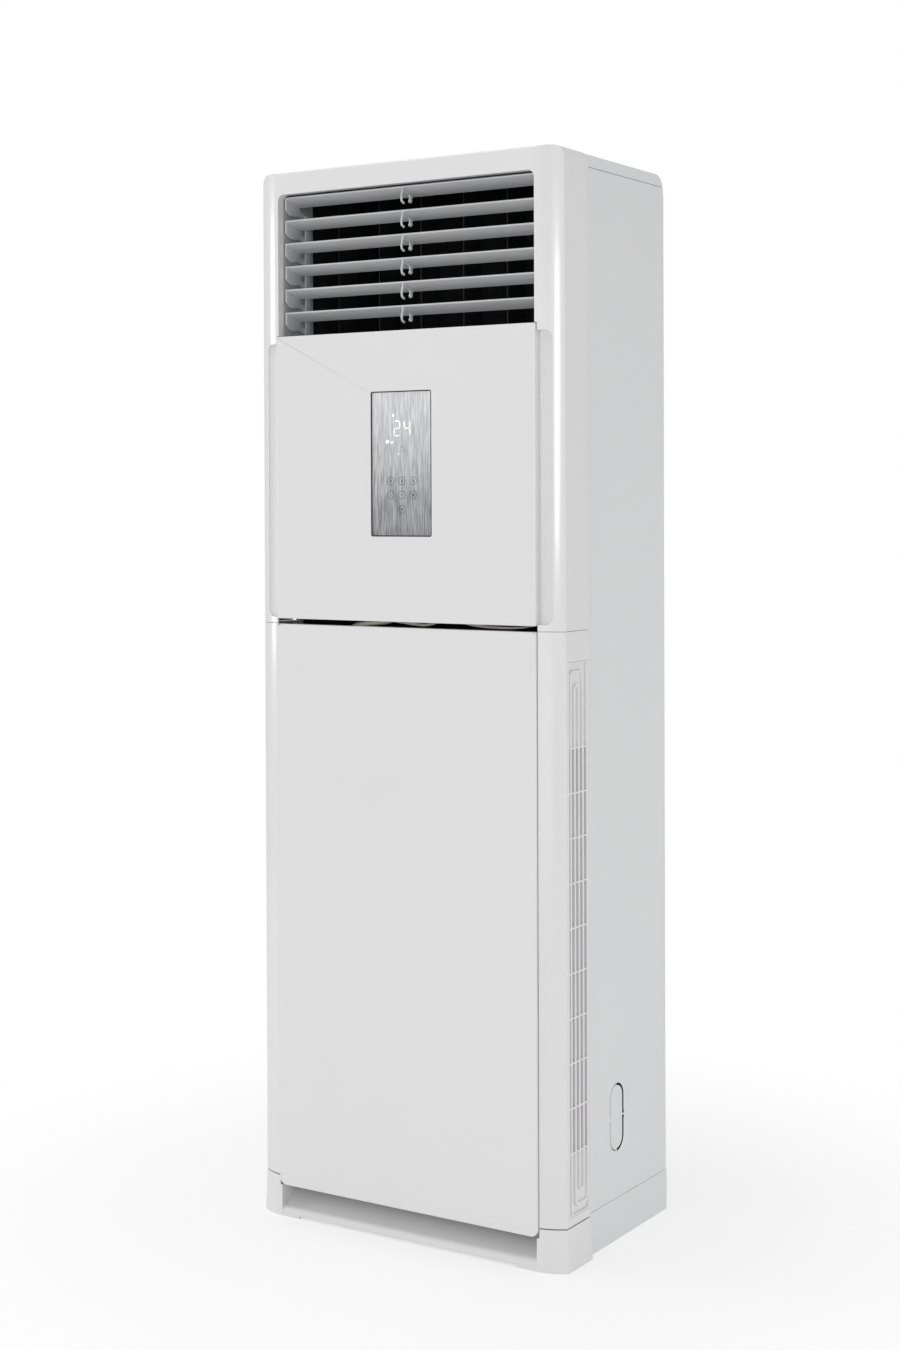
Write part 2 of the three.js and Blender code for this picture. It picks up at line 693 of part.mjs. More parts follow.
// Louver box: the grey frame behind the mouth that holds the louvers between its side walls
// and the vanes between its long floor and roof
function louverBox() {
  const half = outletHalf;
  const rails = block(-half - wall, half + wall, behind(louverBoxFront), behind(vaneRailRear),
    louverBoxBottom - wall, louverBoxTop + wall);
  const tunnel = block(-half, half, behind(louverBoxFront - 1), behind(vaneRailRear + 1),
    louverBoxBottom, louverBoxTop);
  const openSides = block(-half - wall - 1, half + wall + 1, behind(louverBoxRear), behind(vaneRailRear + 1),
    louverBoxBottom, louverBoxTop);
  const holes = [];
  for (let i = 0; i < louverCount; i += 1) {
    for (const side of [-1, 1]) {
      const from = side * (half + wall / 2) - wall;
      holes.push(bar('x', behind(pivotBack), louverZ(i), pivotPin + pinPlay, from, from + 2 * wall));
    }
  }
  for (let i = 0; i < vaneCount; i += 1) {
    for (const z of [louverBoxBottom - wall, louverBoxTop]) {
      holes.push(bar('z', vaneX(i), behind(vanePivotDepth), pivotPin + pinPlay, z - 1, z + wall + 1));
    }
  }
  return cut(rails, tunnel, openSides, ...holes);
}

// Louver, drawn round its own pivot: a slat with a thick nose, an ear with a cut corner at
// each end, a crank on the left ear, and a hook with a ball tip under the middle
function louver() {
  const half = louverChord / 2;
  const z = louverDrop;
  const slat = new THREE.Shape();
  slat.moveTo(half, z - 0.9);
  slat.lineTo(half, z + 0.9);
  slat.lineTo(-half + 3, z + 2);
  slat.quadraticCurveTo(-half, z + 2, -half, z);
  slat.quadraticCurveTo(-half, z - 2, -half + 3, z - 2);
  slat.closePath();
  const run = louverChord * Math.cos(tilt);
  const fall = louverChord * Math.sin(tilt);
  const ear = polygon([[0.5, -1], [0.5, -earFront], [15, -earHeight], [run - 11, -earHeight],
    [run, -fall - 7], [run, -fall + 0.5]].map(([back, up]) => [
    back * Math.cos(tilt) - up * Math.sin(tilt) - half,
    back * Math.sin(tilt) + up * Math.cos(tilt) + z,
  ]));
  const crank = roundedRectangle(half - 12, crankLength + 5, -5, 5, [0, 4.9, 4.9, 0]);
  const hookBar = polygon([[-half + 1, z], [-half + 1, z - 20], [-half + 5, z - 26], [-half + 13, z - 27],
    [-half + 13, z - 24], [-half + 6, z - 23], [-half + 4.5, z - 19], [-half + 4.5, z - 8],
    [-half + 8, z - 5], [3, z - 5.5], [6, z - 13], [11, z - 13], [13, z]]);
  const ball = new THREE.SphereGeometry(hookBallRadius, 8, 6);
  ball.translate(hookOffset, 8.5, z - 14);
  const pinEnd = outletHalf + wall - 0.6;
  const pieces = [
    prism(slat, -louverHalf, louverHalf, 'x'),
    prism(ear, louverHalf - earThickness, louverHalf, 'x'),
    prism(ear, -louverHalf, -louverHalf + earThickness, 'x'),
    prism(crank, -louverHalf, -louverHalf + earThickness, 'x'),
    prism(hookBar, hookOffset - 1.5, hookOffset + 1.5, 'x'),
    toSolid(ball),
    bar('x', 0, 0, pivotPin, louverHalf - 1, pinEnd, pinSides),
    bar('x', 0, 0, pivotPin, -pinEnd, -louverHalf + 1, pinSides),
    bar('x', crankLength, 0, crankPin, -louverHalf + 1, -louverHalf + earThickness + linkThickness, pinSides),
  ];
  return join(...pieces);
}

// Louver link: the upright strap that ties the louver cranks together
function louverLink() {
  const y = behind(pivotBack + crankLength * Math.cos(tilt));
  const drop = crankLength * Math.sin(tilt);
  const x = -louverHalf + earThickness + seatGap;
  const endReach = linkWidth / 2 - 0.5;
  const strap = prism(roundedRectangle(y - linkWidth / 2, y + linkWidth / 2,
    louverZ(louverCount - 1) - drop - endReach,
    louverZ(0) - drop + endReach, [4, 4, 4, 4]), x, x + linkThickness, 'x');
  const holes = [];
  for (let i = 0; i < louverCount; i += 1) {
    holes.push(bar('x', y, louverZ(i) - drop, crankPin + pinPlay, x - 1, x + linkThickness + 1));
  }
  return cut(strap, ...holes);
}

// Vane, drawn round its own pivot: an upright blade with a pin at each end and a crank pin in
// a notch at its lower rear corner
function vane() {
  const bottom = louverBoxBottom + vaneEndGap;
  const top = louverBoxTop - vaneEndGap;
  const rear = vaneChord - vanePivotBack;
  const half = vaneThickness / 2;
  const blade = prism(polygon([[-vanePivotBack, bottom], [rear - 18, bottom], [rear - 18, bottom + vaneNotch],
    [rear, bottom + vaneNotch], [rear, top], [-vanePivotBack, top]]), -half, half, 'x');
  const pieces = [
    blade,
    bar('z', 0, 0, pivotPin, louverBoxBottom - wall + 0.5, bottom + 4, pinSides),
    bar('z', 0, 0, pivotPin, top - 4, louverBoxTop + wall - 0.5, pinSides),
    bar('z', 0, vaneCrank, crankPin, vaneLinkBottom + 0.5, bottom + vaneNotch + 3, pinSides),
  ];
  return join(...pieces);
}

const vaneCrank = vaneChord - vanePivotBack - 9;
const vaneLinkBottom = louverBoxBottom + vaneEndGap + 2;

// Vane link: the flat bar that ties the vane cranks together
function vaneLink() {
  const y = behind(vanePivotDepth + vaneCrank);
  const end = vaneX(vaneCount - 1) + 6;
  const strap = block(-end, end, y - 4.5, y + 4.5, vaneLinkBottom, vaneLinkBottom + 3);
  const holes = [];
  for (let i = 0; i < vaneCount; i += 1) {
    holes.push(bar('z', vaneX(i), y, crankPin + pinPlay, vaneLinkBottom - 1, vaneLinkBottom + 4));
  }
  return cut(strap, ...holes);
}

// Small geared motor, drawn round its own shaft along Z: a round can on a plate with two ears
function gearMotor() {
  const can = bar('z', 0, 0, 13.5, -17, 0, 14);
  const plate = block(-20, 20, -5, 5, -1.2, 0);
  const boss = bar('z', 0, 0, 4.5, -0.5, 1.2, 10);
  return join(can, plate, boss);
}

// ---- Cabinet ------------------------------------------------------------------------------

// The cabinet seen from the side: straight up the back, one large round at the top
function cabinetSide(front, bottom, inset) {
  const r = coverRadius - inset;
  return roundedRectangle(behind(front), behind(cabinetRear - inset), bottom, cabinetTop - inset,
    [0, 0, r, 0]);
}

// Top cover: a cap with a side skirt, its rear corner rolled down over the back
function topCover() {
  const front = frontDepth - 9;
  const reach = cabinetHalf + 5;
  const seam = cabinetTop - coverSkirt;
  const outer = prism(cabinetSide(front, cabinetTop - coverRadius - 2, 0), -cabinetHalf, cabinetHalf,
    'x', fineCurve);
  const inner = prism(cabinetSide(front - 5, cabinetTop - coverRadius - 20, sheet), -innerHalf,
    innerHalf, 'x', fineCurve);
  const belowSeam = block(-reach, reach, behind(front - 1), behind(cabinetRear - coverRadius / 2), 0, seam);
  const sideSlots = [-1, 1].map((side) => block(side > 0 ? innerHalf - 0.5 : -reach,
    side > 0 ? reach : -innerHalf + 0.5, behind(front - 1), behind(cabinetRear + 1), 0, seam));
  const underFrame = block(-reach, reach, behind(front - 1), behind(frontDepth + seatGap), 0,
    seam + coverSkirt - 6);
  const cover = cut(outer, inner, belowSeam, ...sideSlots, underFrame);
  const frameRoof = block(-reach, reach, behind(front - 1), behind(frontDepth + seatGap),
    cabinetTop - sheet - 4, cabinetTop + 1);
  return cut(cover, frameRoof);
}

// Right side panel: folded sheet with a pipe knock-out pressed into it and slit round its rim
function rightSidePanel() {
  const top = cabinetTop - coverSkirt - 0.8;
  const bottom = deckHeight + sheet + seatGap;
  const body = prism(cabinetSide(cabinetFront, bottom, sheet + seatGap), innerHalf, cabinetHalf, 'x',
    mediumCurve)
    .intersect(block(0, cabinetHalf + 1, behind(0), behind(cabinetRear + 1), bottom, top));
  const rearInner = cabinetRear - sheet - seatGap;
  const frontFold = block(cabinetHalf - 15, cabinetHalf - 0.5, behind(cabinetFront),
    behind(cabinetFront + sheet), bottom, top);
  const rearFold = block(cabinetHalf - 15, cabinetHalf - 0.5, behind(rearInner - sheet), behind(rearInner),
    skirtHeight + 4, top - 12);
  const y = behind(knockoutBack);
  const z = knockoutRise;
  const floorWidth = knockoutWidth - 2 * knockoutSlope;
  const floorHeight = knockoutHeight - 2 * knockoutSlope;
  const floorX = cabinetHalf - knockoutSink;
  const dent = loft(uprightSlot(y, z, floorWidth, floorHeight), floorX,
    uprightSlot(y, z, knockoutWidth, knockoutHeight), cabinetHalf, 'x', mediumCurve);
  const dentBack = loft(uprightSlot(y, z, floorWidth + 2 * sheet, floorHeight + 2 * sheet), floorX - sheet,
    uprightSlot(y, z, knockoutWidth + 2 * sheet, knockoutHeight + 2 * sheet), innerHalf, 'x', mediumCurve);
  const open = loft(uprightSlot(y, z, knockoutWidth, knockoutHeight), cabinetHalf - 0.001,
    uprightSlot(y, z, knockoutWidth + 1, knockoutHeight + 1), cabinetHalf + 1, 'x', mediumCurve);
  const slotWidth = floorWidth - 1;
  const slotHeight = floorHeight - 1;
  const disc = uprightSlot(y, z, slotWidth - 2 * knockoutSlot, slotHeight - 2 * knockoutSlot);
  const ring = cut(prism(uprightSlot(y, z, slotWidth, slotHeight), floorX - 2 * sheet, floorX + 1, 'x',
    mediumCurve), prism(disc, floorX - 3 * sheet, floorX + 2, 'x', mediumCurve));
  const tab = 3;
  const tabs = [
    block(floorX - 9, floorX + 9, y, y + knockoutWidth, z - tab, z + tab),
    block(floorX - 9, floorX + 9, y - tab, y + tab, z - knockoutHeight, z),
    block(floorX - 9, floorX + 9, y - knockoutWidth, y, z - tab, z + tab),
  ];
  const edgeY = y + slotWidth / 2 - knockoutSlot / 2 + 0.6;
  const dots = [-1, 1].map((side) => bar('x', edgeY, z + side * (tab + 1.6), 2.6, floorX - 9, floorX + 9, 8));
  const shell = cut(join(body, frontFold, rearFold, dentBack), dent, open);
  return cut(shell, cut(ring, ...tabs), ...dots);
}

// Back panel: flat sheet with pressed stiffening grooves
function backPanel() {
  const bottom = deckHeight + sheet + seatGap;
  const top = cabinetTop - coverRadius - 2 - 0.8;
  const plateFront = cabinetRear - sheet;
  const plate = block(-cabinetHalf, cabinetHalf, behind(plateFront), behind(cabinetRear), bottom, top);
  const pieces = [plate];
  const grooves = [];
  const grooveHalf = cabinetHalf - 70;
  const grooveSink = 3;
  const rows = 4;
  for (let i = 1; i <= rows; i += 1) {
    const z = bottom + ((top - bottom) * i) / (rows + 1);
    const outline = (grow) => {
      const [u, v, corner] = [grooveHalf + grow, 9 + grow, 5];
      return polygon([[-u + corner, z - v], [u - corner, z - v], [u, z - v + corner], [u, z + v - corner],
        [u - corner, z + v], [-u + corner, z + v], [-u, z + v - corner], [-u, z - v + corner]]);
    };
    pieces.push(prism(outline(sheet), behind(plateFront - grooveSink), behind(cabinetRear - 0.5), 'y'));
    grooves.push(prism(outline(0), behind(cabinetRear - grooveSink), behind(cabinetRear + 1), 'y'));
  }
  return cut(join(...pieces), ...grooves);
}

// Base pan: sheet tray with a deck, a skirt the panels tuck into, and a turned-in floor flange
function basePan() {
  const front = cabinetFront + 1.2;
  const outer = prism(roundedRectangle(-skirtHalf, skirtHalf, behind(front), behind(skirtRear), [0, 0, 2, 2]),
    0, skirtHeight, 'z');
  const innerX = skirtHalf - sheet;
  const inner = block(-innerX, innerX, behind(front + sheet), behind(skirtRear - sheet), -1, skirtHeight + 1);
  const floorFlange = 24;
  const opening = block(-skirtHalf + floorFlange, skirtHalf - floorFlange, behind(front + floorFlange),
    behind(skirtRear - floorFlange), -1, deckHeight);
  const underside = block(-innerX, innerX, behind(front + sheet), behind(skirtRear - sheet), 1.5, deckHeight);
  const floorRing = cut(block(-innerX - 0.5, innerX + 0.5, behind(front + 0.5), behind(skirtRear - 0.5),
    0, 1.5)
    .intersect(outer), opening);
  const deck = block(-innerX - 0.5, innerX + 0.5, behind(front + 0.5), behind(skirtRear - 0.5), deckHeight,
    deckHeight + sheet).intersect(outer);
  const frontGap = block(-skirtHalf - 1, skirtHalf + 1, behind(front - 1), behind(front + sheet + 1),
    deckHeight + sheet, skirtHeight + 1);
  return cut(join(cut(outer, inner), floorRing, deck), cut(frontGap, underside));
}

// ---- Blower -------------------------------------------------------------------------------

const partitionZ = doorTop - 12;
const blowerX = -12;
const blowerZ = partitionZ - blowerDrop;
const scrollFront = scrollBack;
const scrollRear = scrollFront + scrollDepth;
const wheelFront = scrollFront + 11;
const wheelRear = wheelFront + wheelWidth;
const throatRadius = wheelRadius - bladeDepth - 4;
const motorFront = scrollRear + bracketGauge + 2 * seatGap;

// The scroll seen from the front: it winds clockwise from the tongue and opens upwards, left
function scrollOutline(grow, top) {
  const turn = 1.5 * Math.PI;
  const steps = 18;
  const points = [];
  for (let i = 0; i <= steps; i += 1) {
    const angle = (turn * i) / steps;
    const radius = scrollStart + (scrollGrowth * i) / steps + grow;
    points.push([blowerX + radius * Math.sin(angle), blowerZ + radius * Math.cos(angle)]);
  }
  points.push([blowerX - scrollStart - scrollGrowth - grow, top]);
  points.push([blowerX + 26 + grow, top]);
  points.push([blowerX + 26 + grow, blowerZ + scrollStart + grow + 6]);
  return polygon(points);
}

// Fan housing: the scroll casing with its neck, the inlet hole in front and the motor hole
function fanHousing() {
  const neckTop = partitionZ - seatGap;
  const outer = prism(scrollOutline(0, neckTop), behind(scrollFront), behind(scrollRear), 'y');
  const inner = prism(scrollOutline(-2.5, neckTop + 1), behind(scrollFront + 2), behind(scrollRear - 2), 'y');
  const inlet = bar('y', blowerX, blowerZ, throatRadius + 14, behind(scrollFront - 1),
    behind(scrollFront + 3), 24);
  const motorHole = bar('y', blowerX, blowerZ, 40, behind(scrollRear - 3), behind(scrollRear + 1), 16);
  return cut(outer, inner, inlet, motorHole);
}

// Inlet ring: the turned bell mouth in front of the wheel
function inletRing() {
  const front = behind(scrollFront - seatGap);
  const point = (radius, back) => new THREE.Vector2(radius, front + back);
  const profile = [
    point(throatRadius + 24, -2), point(throatRadius + 24, 0), point(throatRadius + 12, 0),
    point(throatRadius + 4, 3),
    point(throatRadius + 1.5, 9), point(throatRadius - 0.5, 9), point(throatRadius + 1, 0),
    point(throatRadius + 8, -7),
    point(throatRadius + 17, -9), point(throatRadius + 18, -7), point(throatRadius + 11, -2),
    point(throatRadius + 24, -2), ];
  return turnedAlongY(profile, blowerX, blowerZ, 20);
}

// Blower wheel: forward-curved blades between a back plate with a hub and a front ring
function blowerWheel() {
  const tip = wheelRadius;
  const root = wheelRadius - bladeDepth;
  const front = behind(wheelFront);
  const rear = behind(wheelRear);
  const bore = shaftRadius + pinPlay;
  const point = (radius, y) => new THREE.Vector2(radius, y);
  const plate = turnedAlongY([point(bore, rear - 26), point(16, rear - 26), point(18, rear - 8),
    point(60, rear - 2.5),
    point(tip, rear - 2.5), point(tip, rear), point(bore, rear), point(bore, rear - 26)], 0, 0, wheelSectors);
  const ring = turnedAlongY([point(tip - 16, front), point(tip + 1.5, front), point(tip + 1.5, front + 8),
    point(tip - 0.5, front + 8), point(tip - 0.5, front + 2), point(tip - 16, front + 2),
    point(tip - 16, front)], 0, 0, wheelSectors);
  const blade = new THREE.Shape();
  const lean = 0.14;
  const at = (radius, angle) => [radius * Math.sin(angle), radius * Math.cos(angle)];
  const middle = (root + tip) / 2;
  const half = bladeThickness / 2;
  const [rootX, rootZ] = at(root + 0.5, 0);
  const [bellyX, bellyZ] = at(middle, 0.01);
  const [tipX, tipZ] = at(tip - 1, lean);
  blade.moveTo(rootX - half, rootZ);
  blade.lineTo(bellyX - half, bellyZ);
  blade.lineTo(tipX - half, tipZ);
  blade.lineTo(tipX + half, tipZ - 0.8);
  blade.lineTo(bellyX + half, bellyZ - 0.4);
  blade.lineTo(rootX + half, rootZ);
  blade.closePath();
  const blades = [];
  for (let i = 0; i < bladeCount; i += 1) {
    const geometry = new THREE.ExtrudeGeometry(blade, { depth: wheelWidth - 3, bevelEnabled: false });
    geometry.applyMatrix4(standing.y).translate(0, rear - 1.5, 0).rotateY((2 * Math.PI * i) / bladeCount);
    blades.push(toSolid(geometry));
  }
  return join(plate, ring, ...blades);
}

// Motor shaft: it carries the wheel's hub and runs back through the motor
function fanShaft() {
  return bar('y', 0, 0, shaftRadius, behind(wheelRear - 30), behind(motorFront + motorLength - 8), 12);
}

// Fan motor: a round can with end bells and a bore for its shaft
function fanMotor() {
  const front = behind(motorFront);
  const bore = shaftRadius + pinPlay;
  const point = (radius, back) => new THREE.Vector2(radius, front + back);
  const profile = [
    point(bore, 0), point(22, 0), point(30, 6), point(motorRadius - 8, 8), point(motorRadius, 16),
    point(motorRadius, motorLength - 16), point(motorRadius - 8, motorLength - 8), point(20, motorLength - 6),
    point(16, motorLength), point(bore, motorLength), point(bore, 0),
  ];
  return turnedAlongY(profile, blowerX, blowerZ, 18);
}

// Motor bracket: a plate with four arms that closes the hole in the housing's back
function motorBracket() {
  const from = behind(scrollRear + seatGap);
  const to = from + bracketGauge;
  const disc = bar('y', blowerX, blowerZ, bracketDiscRadius, from, to, 20);
  const arm = bracketReach;
  const armHalf = bracketArmWidth / 2;
  const cross = join(block(blowerX - arm, blowerX + arm, from, to, blowerZ - armHalf, blowerZ + armHalf),
    block(blowerX - armHalf, blowerX + armHalf, from, to, blowerZ - arm, blowerZ + arm));
  const hole = bar('y', blowerX, blowerZ, 12, from - 1, to + 1, 12);
  return cut(join(disc, cross), hole);
}

// Partition: the sheet floor between the blower space and the coil space
function partition() {
  const rear = cabinetRear - 2 * sheet - 2 * seatGap - 4;
  const half = innerHalf - seatGap;
  const frontEdge = cabinetFront + sheet + seatGap;
  const plate = block(-half, half, behind(frontEdge), behind(rear), partitionZ, partitionZ + floorGauge);
  const fold = 16;
  const folds = [
    block(-half, -half + floorGauge, behind(frontEdge), behind(rear), partitionZ - fold, partitionZ + 1),
    block(half - floorGauge, half, behind(frontEdge), behind(rear), partitionZ - fold, partitionZ + 1),
    block(-half, half, behind(rear - floorGauge), behind(rear), partitionZ - fold, partitionZ + 1),
  ];
  const left = blowerX - scrollStart - scrollGrowth + 4;
  const right = blowerX + 22;
  const mouth = block(left, right, behind(scrollFront + 4), behind(scrollRear - 4), partitionZ - 1,
    partitionZ + 3);
  const passages = [
    [drainX, drainBack, drainRadius],
    [pipeX, coilBackAt(suctionShare), suctionRadius],
    [pipeX, coilBackAt(liquidShare), liquidRadius],
  ].map(([x, back, radius]) => bar('z', x, behind(back), radius + 1.5, partitionZ - 1, partitionZ + 3, 12));
  return cut(join(plate, ...folds), mouth, ...passages);
}

// ---- Coil and water -----------------------------------------------------------------------

const drainBack = cabinetFront + 26;
const coilBottom = partitionZ + coilRise;
const coilTop = panelTop - coilTopDrop;

// The coil seen from the side: a slab that leans back from its foot to its head
function coilSide(grow) {
  const rise = coilTop - coilBottom;
  const run = coilHeadBack - coilFootBack;
  const length = Math.hypot(rise, run);
  const across = coilThickness / 2 + grow;
  const [ny, nz] = [rise / length, -run / length];
  const [ty, tz] = [(run / length) * grow, (rise / length) * grow];
  const foot = [coilFootBack - ty, coilBottom - tz];
  const head = [coilHeadBack + ty, coilTop + tz];
  return [
    [behind(foot[0] - ny * across), foot[1] - nz * across],
    [behind(foot[0] + ny * across), foot[1] + nz * across],
    [behind(head[0] + ny * across), head[1] + nz * across],
    [behind(head[0] - ny * across), head[1] - nz * across],
  ];
}

// Fin pack: the finned block, its face broken by a few tall comb gaps
function finPack() {
  const half = coilWidth / 2;
  const slab = prism(polygon(coilSide(0)), -half, half, 'x');
  const grooves = [];
  const comb = 12;
  for (let i = 1; i < comb; i += 1) {
    const x = -half + (coilWidth * i) / comb;
    grooves.push(prism(polygon(coilSide(2)), x - 1, x + 1, 'x'));
  }
  const core = prism(polygon(coilSide(-3)), -half + 1, half - 1, 'x');
  return join(cut(slab, ...grooves), core);
}

// Coil end plate with its row of hairpin bends. The plate runs down to a foot on the partition.
function coilEnd() {
  const x = coilWidth / 2 + seatGap;
  const sides = coilSide(3);
  const plate = prism(polygon(sides), x, x + 1.5, 'x');
  const trayFloor = partitionZ + floorGauge + seatGap + 3;
  const foot = block(x, x + 1.5, behind(coilFootBack - 10), behind(coilFootBack + 24),
    trayFloor + seatGap, coilBottom + 20);
  const pieces = [plate, foot];
  for (let i = 0; i < bendCount; i += 1) {
    const share = (i + 0.6) / (bendCount + 0.2);
    pieces.push(uBend(x + 1, behind(coilBackAt(share)), coilHeightAt(share), bendRadius, tubeRadius));
  }
  return join(...pieces);
}

// One hairpin bend out of the end plate: out, across and back
function uBend(x, y, z, half, radius) {
  const points = [
    new THREE.Vector3(x, y - half, z),
    new THREE.Vector3(x + half, y - half, z),
    new THREE.Vector3(x + 2 * half, y, z),
    new THREE.Vector3(x + half, y + half, z),
    new THREE.Vector3(x, y + half, z),
  ];
  return pipe(points, radius, 6, 5);
}

// Coil cover: the folded sheet that closes the coil space behind the control panel
function coilCover() {
  const half = innerHalf - 16;
  const fold = 8;
  const from = behind(cabinetFront + 0.4);
  const bottom = partitionZ + floorGauge + seatGap;
  const top = panelTop - 31;
  const sheetPlate = block(-half, half, from, from + sheet, bottom, top);
  const folds = [
    block(-half, half, from - fold, from + sheet, bottom, bottom + sheet),
    block(-half, half, from - fold, from + sheet, top - sheet, top),
  ];
  return join(sheetPlate, ...folds);
}

// Drain tray: the trough under the coil's foot, with a spout through the partition
function drainTray() {
  const half = innerHalf - 6;
  const y0 = behind(cabinetFront + 4);
  const y1 = behind(coilFootBack + coilThickness + 6);
  const z0 = partitionZ + floorGauge + seatGap;
  const outer = block(-half, half, y0, y1, z0, z0 + trayHeight);
  const inner = block(-half + trayWall, half - trayWall, y0 + trayWall, y1 - trayWall, z0 + 3,
    z0 + trayHeight + 1);
  const spout = bar('z', drainX, behind(drainBack), drainRadius, z0 - spoutLength, z0 + 2, 12);
  const bore = bar('z', drainX, behind(drainBack), drainRadius - 2, z0 - spoutLength - 1, z0 + 4, 12);
  return cut(join(cut(outer, inner), spout), bore);
}

// Foam duct: the lining that turns the air from the coil forward to the outlet
function foamDuct() {
  const half = innerHalf - 0.5;
  const front = frontDepth + seamGap + 3.5;
  const bottom = panelTop - 30;
  const outer = prism(cabinetSide(front, bottom, 2 * sheet + 0.9), -half, half, 'x');
  const cavityHalf = outletHalf + wall + 0.5;
  const cavity = roundedRectangle(behind(front - 5), behind(cabinetRear - 22), bottom - 5,
    louverBoxTop + wall + 0.5, [0, 0, 120, 0]);
  return cut(outer, prism(cavity, -cavityHalf, cavityHalf, 'x'));
}

// ---- Inner services -----------------------------------------------------------------------

// Air filter behind the right grille: a slim frame with a net held by cross ribs
function rightFilter() {
  const x1 = frontHalf - grilleThickness - 0.4 - 0.6;
  const x0 = x1 - filterThickness;
  const y0 = behind(grilleSetback - 2);
  const y1 = behind(frontDepth - wall - 0.5);
  const z0 = pillarBottom + 6;
  const z1 = grilleBottom + grilleHeight + 12;
  const frame = cut(block(x0, x1, y0, y1, z0, z1), block(x0 - 1, x1 + 1, y0 + 5, y1 - 5, z0 + 6, z1 - 6));
  const net = block(x0 + 2.2, x0 + 3.2, y0 + 4, y1 - 4, z0 + 5, z1 - 5);
  const pieces = [frame, net];
  const rows = 5;
  for (let i = 1; i < rows; i += 1) {
    const z = z0 + ((z1 - z0) * i) / rows;
    pieces.push(block(x0 + 0.5, x1 - 0.5, y0 + 1, y1 - 1, z - 1.5, z + 1.5));
  }
  pieces.push(block(x0 + 0.5, x1 - 0.5, (y0 + y1) / 2 - 1.5, (y0 + y1) / 2 + 1.5, z0 + 1, z1 - 1));
  return join(...pieces);
}

const boxRear = scrollFront - seatGap;
const boxFront = boxRear - boxDepth;
const boxLeft = -boxWidth / 2 - 90;
const boxTop = partitionZ - 14;
const boxBottom = boxTop - boxHeight;

// Electrical box: an open steel tray fixed to the front of the fan housing's neck
function electricalBox() {
  const outer = block(boxLeft, boxLeft + boxWidth, behind(boxFront), behind(boxRear), boxBottom, boxTop);
  const inner = block(boxLeft + sheet, boxLeft + boxWidth - sheet, behind(boxFront - 1),
    behind(boxRear - sheet), boxBottom + sheet, boxTop - sheet);
  const gland = bar('z', harnessX, behind(harnessBack), 9, boxTop - 3, boxTop + 1, 12);
  return cut(outer, inner, gland);
}

// Cover of the electrical box: a lid with turned edges that slips over the tray's front
function boxCover() {
  const grow = seatGap + sheet;
  const outer = block(boxLeft - grow, boxLeft + boxWidth + grow, behind(boxFront - grow),
    behind(boxFront + 14), boxBottom - grow, boxTop + grow);
  const inner = block(boxLeft - seatGap, boxLeft + boxWidth + seatGap, behind(boxFront - seatGap),
    behind(boxFront + 15), boxBottom - seatGap, boxTop + seatGap);
  return cut(outer, inner);
}

// Main board: the control board in the box, with its transformer, relays and terminal strip
function mainBoard() {
  const back = boxRear - sheet - 6;
  const z0 = boxBottom + 8;
  const x0 = boxLeft + 10;
  const x1 = boxLeft + boxWidth - 10;
  const pieces = [
    block(x0, x1, behind(back), behind(back + 1.6), z0, boxTop - 8),
    block(x0 + 12, x0 + 62, behind(back - 38), behind(back + 0.5), z0 + 40, z0 + 84),
    block(x1 - 92, x1 - 12, behind(back - 20), behind(back + 0.5), z0 + 6, z0 + 28),
  ];
  const relays = 4;
  for (let i = 0; i < relays; i += 1) {
    const x = x0 + 80 + i * 26;
    pieces.push(block(x, x + 18, behind(back - 15), behind(back + 0.5), z0 + 52, z0 + 72));
  }
  for (const x of [x0 + 6, x1 - 6]) {
    pieces.push(block(x - 3, x + 3, behind(back + 1), behind(boxRear - sheet - seatGap), z0 + 3, z0 + 9));
  }
  return join(...pieces);
}

const harnessX = boxLeft + 60;
const harnessBack = boxFront + 34;

// Display harness: the cable from the electrical box past the gap under the panel to the board
function displayHarness() {
  const rise = boxTop - sheet - 12;
  const run = -harnessX;
  const points = [
    new THREE.Vector3(harnessX, behind(harnessBack), rise),
    new THREE.Vector3(harnessX, behind(harnessBack), boxTop + 8),
    new THREE.Vector3(harnessX + run * 0.4, behind(30), panelBottom - 8),
    new THREE.Vector3(harnessX + run * 0.83, behind(30), panelBottom + 4),
    new THREE.Vector3(harnessX + run * 1.06, behind(34), panelBottom + 60),
    new THREE.Vector3(-20, behind(34), windowBottom + 20),
    new THREE.Vector3(0, behind(32), windowBottom + 40),
    new THREE.Vector3(0, behind(22), windowBottom + 46),
    new THREE.Vector3(0, behind(boardBack + seatGap), windowBottom + 46),
  ];
  return pipe(points, 4.5, 20, 6);
}

// Place on the coil's slope at a share of the way from its foot to its head
const coilBackAt = (share) => coilFootBack + (coilHeadBack - coilFootBack) * share;
const coilHeightAt = (share) => coilBottom + (coilTop - coilBottom) * share;

// Refrigerant pipe: from the coil's right end plate straight down behind the right side panel,
// through the partition, to the height of the knock-out
function refrigerantPipe(radius, share, endZ) {
  const back = coilBackAt(share);
  const startX = coilWidth / 2 + seatGap + 1.5 + seatGap;
  const startZ = coilHeightAt(share);
  const endX = cabinetHalf - 18;
  const points = [
    new THREE.Vector3(startX, behind(back), startZ),
    new THREE.Vector3(pipeX - 14, behind(back), startZ),
    new THREE.Vector3(pipeX, behind(back), startZ - 16),
    new THREE.Vector3(pipeX, behind(back), (startZ + endZ) / 2),
    new THREE.Vector3(pipeX, behind(back), endZ + 16),
    new THREE.Vector3(pipeX + 7, behind(back), endZ + 2),
    new THREE.Vector3(endX, behind(back), endZ),
  ];
  return pipe(points, radius, 14, 6);
}

